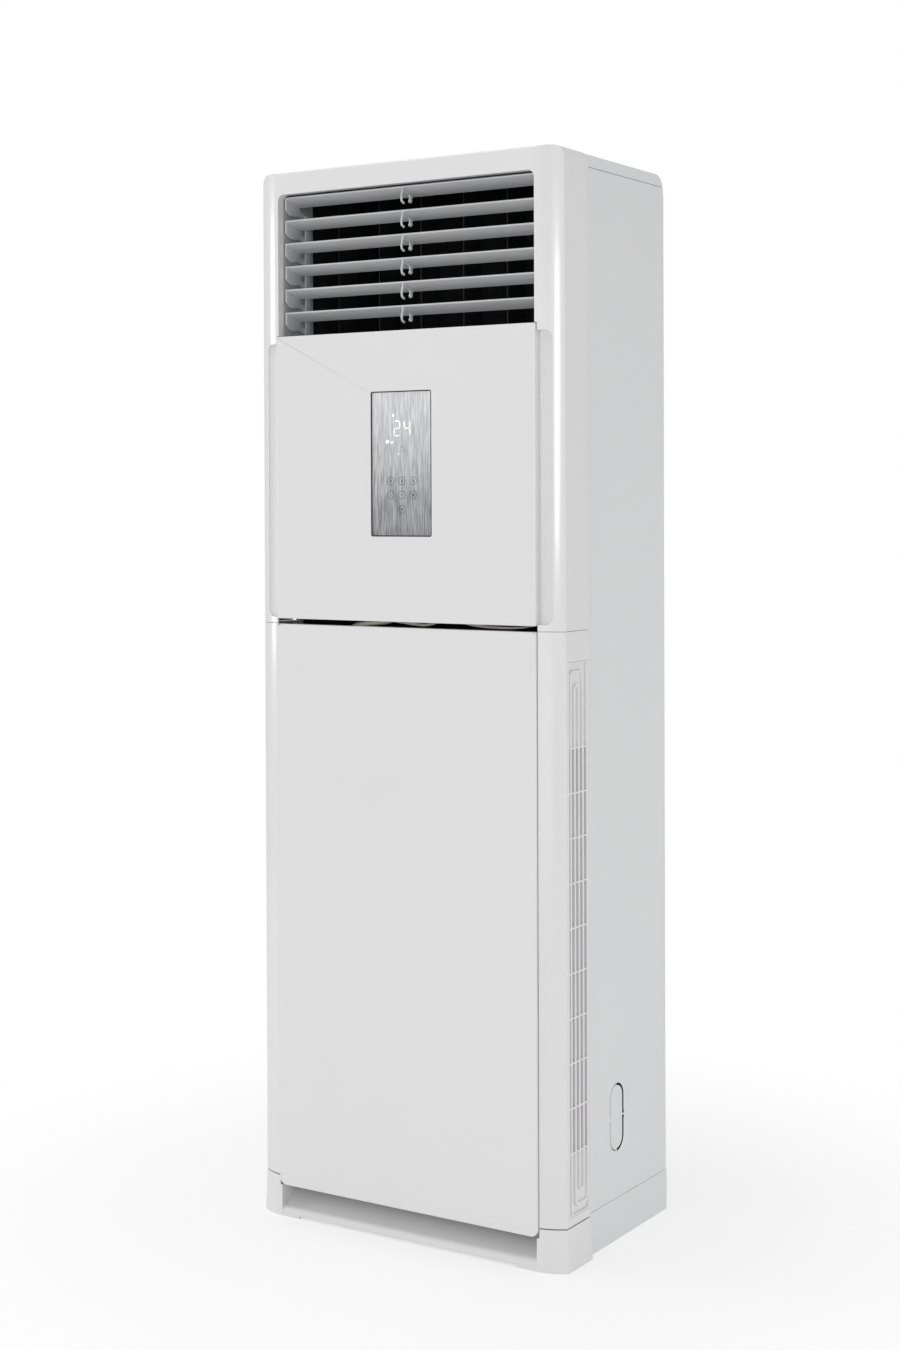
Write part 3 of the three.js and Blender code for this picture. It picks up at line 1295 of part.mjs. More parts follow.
// Drain hose: from under the tray's spout down to the knock-out
function drainHose() {
  const top = partitionZ + floorGauge - spoutLength;
  const points = [
    new THREE.Vector3(drainX, behind(drainBack), top),
    new THREE.Vector3(drainX, behind(drainBack), (top + knockoutRise) / 2),
    new THREE.Vector3(drainX, behind(drainBack), knockoutRise + 40),
    new THREE.Vector3(drainX + 4, behind(drainBack + 26), knockoutRise - 30),
    new THREE.Vector3(cabinetHalf - 18, behind(knockoutBack - 36), knockoutRise - hoseTail),
  ];
  return pipe(points, drainRadius + 1, 10, 8);
}

// ---- Assembly -----------------------------------------------------------------------------

place('base_pan', basePan(), paintedWhite);
place('front_plinth', frontPlinth(), glossWhite);
place('right_side_panel', rightSidePanel(), paintedWhite);
place('left_side_panel', mirrored(rightSidePanel()), paintedWhite);
place('back_panel', backPanel(), paintedWhite);
place('top_cover', topCover(), paintedWhite);
place('front_frame', frontFrame(), glossWhite);
place('right_pillar', rightPillar(), glossWhite);
place('left_pillar', mirrored(rightPillar()), glossWhite);
const grille = intakeGrille();
const windowPlace = [0, behind(grilleSetback + grilleWidth / 2), grilleBottom + grilleHeight / 2];
place('right_intake_grille', grille, glossWhite, windowPlace);
place('left_intake_grille', grille, glossWhite, windowPlace, [0, Math.PI, 0]);
place('right_air_filter', rightFilter(), meshGrey);
place('left_air_filter', mirrored(rightFilter()), meshGrey);
place('lower_door', lowerDoor(), glossWhite);
place('control_panel', controlPanel(), glossWhite);
place('display_window', displayWindow(), brushedSilver);
place('display_board', displayBoard(), boardGreen);
place('louver_box', louverBox(), linerGrey);

const louverBlade = louver();
for (let i = 0; i < louverCount; i += 1) {
  place(`louver_${i + 1}`, louverBlade, louverGrey, [0, behind(pivotBack), louverZ(i)], [-tilt, 0, 0]);
}
place('louver_link', louverLink(), louverGrey);

const vaneBlade = vane();
for (let i = 0; i < vaneCount; i += 1) {
  place(`vane_${i + 1}`, vaneBlade, foamBlack, [vaneX(i), behind(vanePivotDepth), 0]);
}
place('vane_link', vaneLink(), foamBlack);

place('louver_motor', gearMotor(), zinc,
  [-outletHalf - wall - 1.2 - seatGap, behind(pivotBack), louverZ(2)], [0, Math.PI / 2, 0]);
place('vane_motor', gearMotor(), zinc, [vaneX(2), behind(vanePivotDepth),
  louverBoxBottom - wall - 1.2 - seatGap]);

place('foam_duct', foamDuct(), foamBlack);
place('fin_pack', finPack(), aluminium);
place('right_coil_end', coilEnd(), zinc);
place('left_coil_end', mirrored(coilEnd()), zinc);
place('coil_cover', coilCover(), zinc);
place('drain_tray', drainTray(), linerGrey);
place('suction_pipe', refrigerantPipe(suctionRadius, suctionShare, knockoutRise + 18), copper);
place('liquid_pipe', refrigerantPipe(liquidRadius, liquidShare, knockoutRise - 10), copper);
place('drain_hose', drainHose(), hoseGrey);
place('partition', partition(), zinc);
place('fan_housing', fanHousing(), zinc);
place('inlet_ring', inletRing(), zinc);
place('blower_wheel', blowerWheel(), wheelWhite, [blowerX, 0, blowerZ]);
place('fan_shaft', fanShaft(), zinc, [blowerX, 0, blowerZ]);
place('fan_motor', fanMotor(), motorGrey);
place('motor_bracket', motorBracket(), zinc);
place('electrical_box', electricalBox(), zinc);
place('electrical_box_cover', boxCover(), zinc);
place('main_board', mainBoard(), boardGreen);
place('display_harness', displayHarness(), harnessWhite);

export default unit;
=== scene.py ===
import math

import bmesh
import bpy
from mathutils import Matrix, Vector


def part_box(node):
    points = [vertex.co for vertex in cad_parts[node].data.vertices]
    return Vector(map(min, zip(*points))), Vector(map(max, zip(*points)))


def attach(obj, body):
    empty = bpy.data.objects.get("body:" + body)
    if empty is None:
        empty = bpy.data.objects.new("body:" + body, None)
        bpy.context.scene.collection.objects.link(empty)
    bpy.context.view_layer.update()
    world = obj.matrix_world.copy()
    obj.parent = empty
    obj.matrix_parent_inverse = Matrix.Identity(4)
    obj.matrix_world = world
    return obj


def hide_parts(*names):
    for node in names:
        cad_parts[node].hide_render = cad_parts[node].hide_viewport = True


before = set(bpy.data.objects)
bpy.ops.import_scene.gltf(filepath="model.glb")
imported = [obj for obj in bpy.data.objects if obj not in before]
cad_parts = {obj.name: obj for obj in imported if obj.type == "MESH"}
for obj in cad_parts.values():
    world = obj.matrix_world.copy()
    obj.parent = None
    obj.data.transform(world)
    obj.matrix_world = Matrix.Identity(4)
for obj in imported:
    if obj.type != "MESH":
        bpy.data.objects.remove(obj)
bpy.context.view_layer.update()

# ---- Camera -------------------------------------------------------------------------------
# The standpoint, turn and lens of the camera that took the photo, found from the straight
# edges of the unit. It stands to the right, at chest height, and looks almost level.

picture_width, picture_height = 900, 1350
focal_pixels = 2109.6
optical_x, optical_y = 449.9, 527.9
standpoint = Vector((2.0004, -3.18735, 1.2628))
yaw, pitch, roll = (math.radians(angle) for angle in (32.472, 0.633, -0.203))

upward = Vector((0, 0, 1))
level_ahead = Vector((-math.sin(yaw), math.cos(yaw), 0))
level_right = Vector((math.cos(yaw), math.sin(yaw), 0))
ahead = level_ahead * math.cos(pitch) - upward * math.sin(pitch)
lifted = upward * math.cos(pitch) + level_ahead * math.sin(pitch)
picture_right = level_right * math.cos(roll) + lifted * math.sin(roll)
picture_up = lifted * math.cos(roll) - level_right * math.sin(roll)

camera = bpy.data.objects.new("camera", bpy.data.cameras.new("camera"))
bpy.context.collection.objects.link(camera)
camera.data.sensor_width = 36
camera.data.lens = focal_pixels / picture_height * camera.data.sensor_width
camera.data.shift_x = (picture_width / 2 - optical_x) / picture_height
camera.data.shift_y = (optical_y - picture_height / 2) / picture_height
turn = Matrix((picture_right, picture_up, -ahead)).transposed().to_4x4()
camera.matrix_world = Matrix.Translation(standpoint) @ turn
bpy.context.scene.camera = camera
bpy.context.scene.view_settings.view_transform = "Standard"

# ---- Studio -------------------------------------------------------------------------------
# A pale floor that keeps the unit's shadow and runs out into white, a white surround, and
# five soft lamps: two tall ones whose lights run down the corners, and three broad ones.


class Value:
    """A number, colour or vector in a shader, so that its sums read like plain sums."""

    def __init__(self, nodes, socket):
        self.nodes = nodes
        self.socket = socket

    def __add__(self, other):
        return self.nodes.math("ADD", self, other)

    def __radd__(self, other):
        return self.nodes.math("ADD", other, self)

    def __sub__(self, other):
        return self.nodes.math("SUBTRACT", self, other)

    def __rsub__(self, other):
        return self.nodes.math("SUBTRACT", other, self)

    def __mul__(self, other):
        return self.nodes.math("MULTIPLY", self, other)

    def __rmul__(self, other):
        return self.nodes.math("MULTIPLY", other, self)

    def __truediv__(self, other):
        return self.nodes.math("DIVIDE", self, other)

    def __rtruediv__(self, other):
        return self.nodes.math("DIVIDE", other, self)

    def wave(self, length):
        """A smooth swing from 0 to 1 and back that repeats every so many metres."""
        return self.nodes.math("SINE", self * (2 * math.pi / length)) * 0.5 + 0.5

    def ramp(self, low, high):
        """A smooth rise from 0 at one value to 1 at the other."""
        ends = {"Value": self, "From Min": low, "From Max": high}
        return self.nodes.add("MapRange", {"interpolation_type": "SMOOTHSTEP"}, ends)


class Nodes:
    """The nodes of a material or of the world."""

    def __init__(self, owner):
        owner.use_nodes = True
        self.tree = owner.node_tree

    def add(self, kind, settings=None, values=None, out=0):
        """Adds a node, gives it settings and input values or links, and hands on one output."""
        node = self.tree.nodes.new("ShaderNode" + kind)
        for name, setting in (settings or {}).items():
            setattr(node, name, setting)
        for name, value in (values or {}).items():
            self.feed(node.inputs[name], value)
        return Value(self, node.outputs[out])

    def feed(self, socket, value):
        """Links a value to a socket, or sets the socket to a plain number or colour."""
        if isinstance(value, Value):
            self.tree.links.new(value.socket, socket)
        else:
            socket.default_value = value

    def math(self, operation, *terms):
        return self.add("Math", {"operation": operation}, dict(enumerate(terms)))


class Look(Nodes):
    """A material whose patterns follow the piece's own coordinates, in metres."""

    def __init__(self, name, **constants):
        self.material = bpy.data.materials.new(name)
        super().__init__(self.material)
        self.shader = self.tree.nodes["Principled BSDF"]
        for words, value in constants.items():
            self.shader.inputs[words.replace("_", " ")].default_value = value
        self.place = self.add("TexCoord", out="Object")

    def set(self, name, value):
        self.feed(self.shader.inputs[name], value)

    def along(self, axis):
        return self.add("SeparateXYZ", None, {0: self.place}, out="XYZ".index(axis))

    def stretched(self, stretch):
        return self.add("VectorMath", {"operation": "MULTIPLY"}, {0: self.place, 1: stretch})

    def noise(self, size, detail=2.0, stretch=(1, 1, 1)):
        """Clouds from 0 to 1, about so many metres wide; a small stretch draws them long."""
        settings = {"Vector": self.stretched(stretch), "Scale": 1 / size, "Detail": detail}
        return self.add("TexNoise", None, settings)

    def cells(self, size, out="Distance"):
        """Cells about so many metres wide: the distance from their middles, or their colours."""
        return self.add("TexVoronoi", None, {"Vector": self.place, "Scale": 1 / size}, out)

    def mix(self, first, second, share):
        return self.add("Mix", {"data_type": "RGBA"}, {0: share, 6: first, 7: second}, out=2)

    def relief(self, height, depth):
        """Raises the surface by a pattern from 0 to 1, up to so many metres."""
        self.set("Normal", self.add("Bump", None, {"Distance": depth, "Height": height}))


def tone(red, green, blue):
    """A screen colour from 0 to 255 as the linear colour that a shader takes."""
    shares = [value / 255 for value in (red, green, blue)]
    return (*[s / 12.92 if s <= 0.04045 else ((s + 0.055) / 1.055) ** 2.4 for s in shares], 1)


white = (1, 1, 1, 1)

floor_shape = bmesh.new()
bmesh.ops.create_grid(floor_shape, x_segments=2, y_segments=2, size=14)
floor_mesh = bpy.data.meshes.new("floor")
floor_shape.to_mesh(floor_mesh)
floor_shape.free()
floor = bpy.data.objects.new("floor", floor_mesh)
bpy.context.collection.objects.link(floor)

floor_look = Look("floor", Roughness=0.7)
grain = floor_look.noise(0.02, 3)
floor_look.set("Base Color", floor_look.mix(tone(249, 249, 249), tone(253, 253, 253), grain))
distance = floor_look.add("VectorMath", {"operation": "LENGTH"}, {0: floor_look.place}, out="Value")
seen = floor_look.add("LightPath", out="Is Camera Ray")
plain_white = floor_look.add("Emission", None, {"Color": white, "Strength": 1.0})
shadow_or_white = floor_look.add("MixShader", None, {
    0: seen * (distance.ramp(0.35, 1.3) * 0.35 + 0.65),
    1: Value(floor_look, floor_look.shader.outputs[0]),
    2: plain_white,
})
floor_look.feed(floor_look.tree.nodes["Material Output"].inputs["Surface"], shadow_or_white)
floor.data.materials.append(floor_look.material)

world = bpy.data.worlds.new("surround")
bpy.context.scene.world = world
surround = Nodes(world)
soft_light = surround.add("Background", None, {"Color": white, "Strength": 0.55})
white_ground = surround.add("Background", None, {"Color": white, "Strength": 1.0})
seen = surround.add("LightPath", out="Is Camera Ray")
either = surround.add("MixShader", None, {0: seen, 1: soft_light, 2: white_ground})
surround.feed(surround.tree.nodes["World Output"].inputs["Surface"], either)


def soft_lamp(name, place, aim, width, height, watts):
    """A flat lamp that faces a point."""
    lamp = bpy.data.lights.new(name, "AREA")
    lamp.shape = "RECTANGLE"
    lamp.size = width
    lamp.size_y = height
    lamp.energy = watts
    holder = bpy.data.objects.new(name, lamp)
    bpy.context.collection.objects.link(holder)
    holder.location = place
    holder.rotation_euler = (Vector(aim) - Vector(place)).to_track_quat("-Z", "Y").to_euler()


soft_lamp("right_lamp", (1.95, -3.1, 1.6), (0.3, -0.19, 1.6), 0.42, 0.95, 17)
soft_lamp("left_lamp", (-3.5, -1.5, 1.5), (-0.3, -0.19, 1.4), 0.9, 1.5, 24)
soft_lamp("front_lamp", (0.3, -4.4, 0.9), (0, -0.19, 0.9), 3.0, 2.4, 24)
soft_lamp("side_lamp", (3.6, 1.2, 0.4), (0.3, 0.15, 0.1), 1.6, 0.7, 22)
soft_lamp("top_lamp", (-0.5, -0.5, 4.3), (0, 0, 1.2), 2.4, 2.4, 36)

# ---- Base pan and plinth ------------------------------------------------------------------
# The unit stands on a tray of folded sheet, powder coated white, with a skirt that the side
# panels tuck into. A glossy moulding closes it in front, with a finger scoop under the door.


def behind(distance):
    """The Y of a place so many millimetres behind the flat front of the mouldings."""
    return (distance - 196.15) / 1000


def coated(name, darker, lighter, roughness, grain_size, grain_depth, **constants):
    """A moulded or painted finish: tone and gloss a little uneven, with a fine grain."""
    look = Look(name, **constants)
    clouds = look.noise(0.3, 4)
    specks = look.noise(0.004, 2).ramp(0.72, 0.8)
    look.set("Base Color", look.mix(look.mix(darker, lighter, clouds), darker, specks * 0.4))
    hazy = look.noise(0.09, 3) * 0.08 + look.noise(0.012, 2) * 0.04
    look.set("Roughness", hazy + (roughness - 0.06))
    look.relief(look.noise(grain_size, 2), grain_depth)
    return look


painted_white = coated("painted_white", tone(219, 220, 221), tone(225, 225, 226), 0.4, 0.0016, 0.00004)
gloss_white = coated(
    "gloss_white", tone(225, 224, 225), tone(229, 228, 229), 0.19, 0.006, 0.00001,
    Coat_Weight=0.25, Coat_Roughness=0.1,
)


touching = 0.00001


def welded(node):
    """The shape of a CAD node as one skin, its flat faces laid out afresh in few triangles."""
    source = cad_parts[node]
    shape = bmesh.new()
    shape.from_mesh(source.data)
    shape.transform(source.matrix_world)
    bmesh.ops.remove_doubles(shape, verts=shape.verts, dist=touching)
    flat = math.radians(0.4)
    bmesh.ops.dissolve_limit(shape, angle_limit=flat, verts=shape.verts, edges=shape.edges)
    bmesh.ops.triangulate(shape, faces=shape.faces, quad_method="BEAUTY", ngon_method="BEAUTY")
    return shape


crease = math.radians(32)


def break_edges(shape, width, edges=None, segments=2):
    """Rounds the given edges, or else every sharp one, and keeps the shape in its old box."""
    sharp = edges or [edge for edge in shape.edges if edge.calc_face_angle(0) > crease]
    places = [[vert.co[axis] for vert in shape.verts] for axis in range(3)]
    low, high = [min(place) for place in places], [max(place) for place in places]
    bmesh.ops.bevel(
        shape, geom=sharp, offset=width / 1000, segments=segments, profile=0.5,
        affect="EDGES", clamp_overlap=False, loop_slide=False, material=-1,
    )
    for vert in shape.verts:
        vert.co = [min(max(vert.co[axis], low[axis]), high[axis]) for axis in range(3)]
    bmesh.ops.dissolve_degenerate(shape, dist=touching, edges=shape.edges)


def shade(mesh):
    """Shades rounds smoothly while the large flat faces beside them keep their own direction."""
    mesh.polygons.foreach_set("use_smooth", [True] * len(mesh.polygons))
    beside = [[] for _ in mesh.vertices]
    for face in mesh.polygons:
        for vertex in face.vertices:
            beside[vertex].append(face)
    normals = []
    for face in mesh.polygons:
        for vertex in face.vertices:
            total = Vector()
            for other in beside[vertex]:
                if other.normal.dot(face.normal) > math.cos(crease):
                    total += other.normal * other.area
            normals.append(total.normalized() if total.length > 0 else face.normal)
    mesh.normals_split_custom_set(normals)


thin_width, thin_length = 0.0003, 0.02
hair_width, slight_rise, large_area = 0.00012, 0.00008, 0.002


def unfold(shape):
    """Turns round thin faces that a bevel folded over, and lays some hair-thin ones flat."""
    folded = []
    for face in shape.faces:
        longest = max(edge.calc_length() for edge in face.edges)
        width = 2.0 * face.calc_area() / longest
        beside = [other for edge in face.edges for other in edge.link_faces if other != face]
        if width > thin_width or longest < thin_length or not beside:
            continue
        large = max(beside, key=lambda other: other.calc_area())
        if large.normal.dot(face.normal) < -0.3:
            folded.append(face)
        if width < hair_width and large.calc_area() > large_area:
            for corner in face.verts:
                away = (corner.co - large.verts[0].co).dot(large.normal)
                if abs(away) < slight_rise:
                    corner.co -= large.normal * away
    bmesh.ops.reverse_faces(shape, faces=folded)


def finished(name, shape, body, look, edge=0.0, stands_for=()):
    """Makes a shape one shown piece on a body, its edges broken by so many millimetres."""
    if edge:
        break_edges(shape, edge)
    bmesh.ops.recalc_face_normals(shape, faces=shape.faces)
    unfold(shape)
    mesh = bpy.data.meshes.new(name)
    shape.to_mesh(mesh)
    shape.free()
    shade(mesh)
    mesh.materials.append(look.material)
    piece = bpy.data.objects.new(name, mesh)
    bpy.context.collection.objects.link(piece)
    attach(piece, body)
    if stands_for:
        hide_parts(*stands_for)
    return piece


def take(node, body, look, edge):
    """Shows a CAD node's own shape with its edges broken and its finish on."""
    return finished(node + "_finish", welded(node), body, look, edge, [node])


take("base_pan", "cabinet", painted_white, 0.4)
take("front_plinth", "cabinet", gloss_white, 0.7)

# ---- Cabinet sheets -----------------------------------------------------------------------
# Two folded side panels, a grooved back and a cap rolled down over it, all powder coated
# sheet steel. A pipe knock-out is pressed into each side near the foot.

take("right_side_panel", "cabinet", painted_white, 0.35)
take("left_side_panel", "cabinet", painted_white, 0.35)
take("back_panel", "cabinet", painted_white, 0.35)
take("top_cover", "cabinet", painted_white, 0.4)

# ---- Knock-out slot shadow ----------------------------------------------------------------
# The pipe knock-out hangs in its pressing by small tabs. A black strip lies in the cut round
# its rear half: painted shadow, standing in for the shade down in the slot.

foam_black = Look("foam_black", Specular_IOR_Level=0.2)
pores = foam_black.cells(0.0022)
foam_black.set("Base Color", foam_black.mix(tone(14, 14, 14), tone(36, 36, 36), pores.ramp(0.1, 0.7)))
foam_black.set("Roughness", foam_black.noise(0.03, 2) * 0.1 + 0.86)
foam_black.relief(pores, 0.0005)

knockout_floor = 0.29615
knockout_centre = Vector((0, behind(215), 0.208))
cut_radius = 0.0232
cut_straight = 0.034
cut_width = 0.0058
tab_half = 0.0014
slot_shadow_thickness = 0.0015

# A black strip in the rear half of the cut: painted shadow.
slot_shadow = bmesh.new()
for radius in (cut_radius - cut_width / 2, cut_radius + cut_width / 2):
    upright = Matrix.Rotation(math.pi / 2, 4, "Y")
    for vert in bmesh.ops.create_circle(slot_shadow, segments=48, radius=radius, matrix=upright)["verts"]:
        vert.co.z += math.copysign(cut_straight, vert.co.z)
bmesh.ops.bridge_loops(slot_shadow, edges=slot_shadow.edges)
for height in (-tab_half, tab_half):
    everything = [*slot_shadow.verts, *slot_shadow.edges, *slot_shadow.faces]
    bmesh.ops.bisect_plane(slot_shadow, geom=everything, plane_co=(0, 0, height), plane_no=(0, 0, 1))
tabs = [face for face in slot_shadow.faces
        if face.calc_center_median().y < 0 or abs(face.calc_center_median().z) < tab_half]
bmesh.ops.delete(slot_shadow, geom=tabs, context="FACES")
bmesh.ops.translate(slot_shadow, verts=slot_shadow.verts, vec=knockout_centre + Vector((knockout_floor, 0, 0)))
bmesh.ops.recalc_face_normals(slot_shadow, faces=slot_shadow.faces)
bmesh.ops.solidify(slot_shadow, geom=slot_shadow.faces, thickness=slot_shadow_thickness)
outermost = max(vert.co.x for vert in slot_shadow.verts)
bmesh.ops.translate(slot_shadow, verts=slot_shadow.verts, vec=(knockout_floor - outermost, 0, 0))
bmesh.ops.mirror(slot_shadow, geom=[*slot_shadow.verts, *slot_shadow.edges, *slot_shadow.faces], axis="X", merge_dist=touching)
finished("knockout_slot_shadow", slot_shadow, "cabinet", foam_black)

# ---- Back screws --------------------------------------------------------------------------
# Low hexagon washer screws of zinc coated steel hold the back to the sides' folds and to the
# cover's lip.

zinc_steel = Look("zinc_steel", Metallic=0.85)
spangle = zinc_steel.cells(0.016, "Color")
spangle_share = zinc_steel.add("SeparateColor", None, {0: spangle})
zinc_steel.set("Base Color", zinc_steel.mix(tone(160, 163, 165), tone(196, 199, 201), spangle_share))
zinc_steel.set("Roughness", spangle_share * 0.14 + zinc_steel.noise(0.004, 3) * 0.12 + 0.3)
zinc_steel.relief(zinc_steel.noise(0.003, 3), 0.00003)

washer_radius, washer_height = 0.0043, 0.0005
hexagon_radius, hexagon_height = 0.0031, 0.0009
screw_side, cover_row = 0.2925, 1.805
side_rows = (0.1, 0.38, 0.66, 0.94, 1.22, 1.5, 1.78)


def washer_screw(shape, place):
    """Adds a screw head that faces backwards, its seat at a place."""
    turn = Matrix.Translation(place) @ Matrix.Rotation(-math.pi / 2, 4, "X")
    bmesh.ops.create_cone(
        shape, cap_ends=True, segments=24, radius1=washer_radius, radius2=washer_radius * 0.94,
        depth=washer_height, matrix=turn @ Matrix.Translation((0, 0, washer_height / 2)),
    )
    seat = turn @ Matrix.Translation((0, 0, washer_height + hexagon_height / 2))
    head = bmesh.ops.create_cone(
        shape, cap_ends=True, segments=6, radius1=hexagon_radius, radius2=hexagon_radius * 0.93,
        depth=hexagon_height, matrix=seat,
    )["verts"]
    faces = {face for vert in head for face in vert.link_faces}
    crown = max(faces, key=lambda face: face.calc_center_median().y)
    bmesh.ops.inset_region(shape, faces=[crown], thickness=0.0008, depth=-0.0003)


screws = bmesh.new()
back_face = behind(393.8)
for side in (-screw_side, screw_side):
    for level in side_rows:
        washer_screw(screws, Vector((side, back_face, level)))
for across in (-0.2, 0, 0.2):
    washer_screw(screws, Vector((across, back_face, cover_row)))
finished("back_screws", screws, "cabinet", zinc_steel)

# ---- Front frame and pillars --------------------------------------------------------------
# Glossy white mouldings with swept corners. The upper one carries the outlet mouth and the
# finger channels, the two lower ones carry the intake grilles and the door's pivots.


def split_across(shape, *places):
    """Cuts faces at some X so that the shading of the swept corners ends beside them."""
    for x in places:
        geometry = [*shape.verts, *shape.edges, *shape.faces]
        bmesh.ops.bisect_plane(shape, geom=geometry, plane_co=(x, 0, 0), plane_no=(1, 0, 0))


def block(shape, middle, size, place=Matrix()):
    """Adds a box of a size with its middle at a spot, and hands on its corners."""
    made = bmesh.ops.create_cube(shape, size=1)["verts"]
    stretch = Matrix.Diagonal((*size, 1))
    bmesh.ops.transform(shape, verts=made, matrix=place @ Matrix.Translation(middle) @ stretch)
    return made


sweep_start, strip_width = 0.2565, 0.003
frame_shape = welded("front_frame")
split_across(frame_shape, sweep_start - strip_width, strip_width - sweep_start)
finished("front_frame_finish", frame_shape, "cabinet", gloss_white, 0.7, ["front_frame"])
take("right_pillar", "cabinet", gloss_white, 0.6)
take("left_pillar", "cabinet", gloss_white, 0.6)

lip_inside, lip_outside = 0.3003, 0.3052
lip_front, lip_rear = behind(95), behind(99.4)
lip_bottom, lip_top = 1.056, 1.832
lips = bmesh.new()
middle = ((lip_inside + lip_outside) / 2, (lip_front + lip_rear) / 2, (lip_bottom + lip_top) / 2)
block(lips, middle, (lip_outside - lip_inside, lip_rear - lip_front, lip_top - lip_bottom))
bmesh.ops.mirror(lips, geom=[*lips.verts, *lips.edges, *lips.faces], axis="X", merge_dist=touching)
finished("frame_side_lips", lips, "cabinet", gloss_white, 0.4)

# ---- Intake grilles and filters -----------------------------------------------------------
# Each pillar's side window holds a clipped-in moulding of upright ribs over thin crossbars.
# A slim frame with a fine grey net stands behind it and keeps dust out.

filter_net = Look("filter_mesh", Roughness=0.75)
thread_pitch = 0.0013
level_threads = filter_net.along("Z").wave(thread_pitch)
upright_threads = filter_net.along("Y").wave(thread_pitch)
threads = filter_net.math("MAXIMUM", level_threads, upright_threads)
dusty = filter_net.noise(0.05, 3)
thread_tone = filter_net.mix(tone(204, 206, 207), tone(192, 193, 192), dusty)
filter_net.set("Base Color", filter_net.mix(tone(128, 131, 134), thread_tone, threads.ramp(0.6, 0.9)))
filter_net.relief(threads, 0.0002)

take("right_intake_grille", "cabinet", gloss_white, 0.5)
take("left_intake_grille", "cabinet", gloss_white, 0.5)
take("right_air_filter", "cabinet", filter_net, 0.3)
take("left_air_filter", "cabinet", filter_net, 0.3)

# ---- Lower door ---------------------------------------------------------------------------
# A shallow glossy tray hung from two pins in its upper corners. It swings out at its foot,
# so that the filters can be lifted out.


def round_front(shape, radius, picks):
    """Rounds the front edges that a test picks."""
    front = min(vert.co.y for vert in shape.verts)
    rim = []
    for edge in shape.edges:
        level = all(vert.co.y < front + 0.00005 for vert in edge.verts)
        if level and edge.calc_face_angle(0) > 0.5 and picks(edge):
            rim.append(edge)
    break_edges(shape, radius, rim, 4)


door_shape = welded("lower_door")
round_front(door_shape, 2.2, lambda edge: True)
finished("lower_door_finish", door_shape, "door", gloss_white, 0.5, ["lower_door"])

# ---- Control panel and display ------------------------------------------------------------
# A clip-on glossy panel. A brushed silver plate shows through it, with lit digits and signs
# in its upper half and seven printed touch keys below. The board stands behind the plate.

window_low, window_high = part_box("display_window")
hidden_edge = 0.0047
window_bottom = window_low.z + hidden_edge
plate_front = window_low.y


def beside_window(edge):
    """True for an edge that isn't part of the window's rim."""
    return any(abs(vert.co.x) > 0.1 or not window_low.z - 0.05 < vert.co.z < window_high.z + 0.05
               for vert in edge.verts)


panel_shape = welded("control_panel")
round_front(panel_shape, 2.2, beside_window)
finished("control_panel_finish", panel_shape, "cabinet", gloss_white, 0.5, ["control_panel"])

silver = Look("silver_plate", Metallic=0.55, Specular_IOR_Level=0.4)
rise = (silver.along("Z") - window_low.z) / (window_high.z - window_low.z)
brushing = silver.noise(0.0009, 2, (1, 1, 0.03)) * 0.55 + silver.noise(0.0024, 2, (1, 1, 0.07)) * 0.45
# Painted sheen: the plate is coloured light at its top and dark at its foot, as its reflection falls.
painted_sheen_fade = silver.mix(tone(118, 119, 121), tone(244, 245, 246), rise.ramp(-0.05, 0.95))
streak = silver.mix(tone(84, 85, 87), tone(250, 251, 252), brushing.ramp(0.32, 0.68))
silver.set("Base Color", silver.mix(painted_sheen_fade, streak, 0.4))
silver.set("Roughness", brushing * 0.3 + 0.24)
silver.relief(brushing, 0.00004)
take("display_window", "cabinet", silver, 0.25)

window_half = 0.062
window_top = window_high.z - hidden_edge
shadow_ring_front, shadow_ring_depth = behind(-2.6), 0.0014
shadow_ring_radius, shadow_ring_wall = 0.0035, 0.0018

black_edge = coated("vane_black", tone(24, 24, 25), tone(34, 34, 35), 0.5, 0.001, 0.00004)
# A black ring round the inside of the window: painted shadow for the shade that the window's walls cast
# on the plate.
shadow_ring = bmesh.new()
middle = (0, shadow_ring_front + shadow_ring_depth / 2, (window_top + window_bottom) / 2)
block(shadow_ring, middle, (2 * window_half, shadow_ring_depth, window_top - window_bottom))
corners = [edge for edge in shadow_ring.edges
           if abs(edge.verts[0].co.y - edge.verts[1].co.y) > shadow_ring_depth / 2]
bmesh.ops.bevel(
    shadow_ring, geom=corners, offset=shadow_ring_radius, segments=5, profile=0.5, affect="EDGES", material=-1,
)
ends = [face for face in shadow_ring.faces if abs(face.normal.y) > 0.9]
bmesh.ops.delete(shadow_ring, geom=ends, context="FACES_ONLY")
bmesh.ops.recalc_face_normals(shadow_ring, faces=shadow_ring.faces)
bmesh.ops.solidify(shadow_ring, geom=shadow_ring.faces, thickness=shadow_ring_wall)
finished("window_shadow_ring", shadow_ring, "cabinet", black_edge)

board = Look("board_green", Roughness=0.45)
traces = board.cells(0.006)
board.set("Base Color", board.mix(tone(24, 74, 44), tone(42, 112, 66), traces.ramp(0.25, 0.3)))
board.relief(traces.ramp(0.25, 0.3), 0.00005)
chip_black = Look("chip_black", Roughness=0.5)
chip_clouds = chip_black.noise(0.004, 3)
chip_black.set("Base Color", chip_black.mix(tone(30, 31, 33), tone(46, 47, 49), chip_clouds))
chip_black.relief(chip_black.noise(0.0006, 2), 0.00003)


def board_with_parts(node, board_face):
    """Shows a circuit board whose parts in front of its face are black, not green."""
    piece = take(node, "cabinet", board, 0.2)
    piece.data.materials.append(chip_black.material)
    for face in piece.data.polygons:
        face.material_index = int(face.center.y < board_face - 0.0003)


board_with_parts("display_board", behind(6.8))

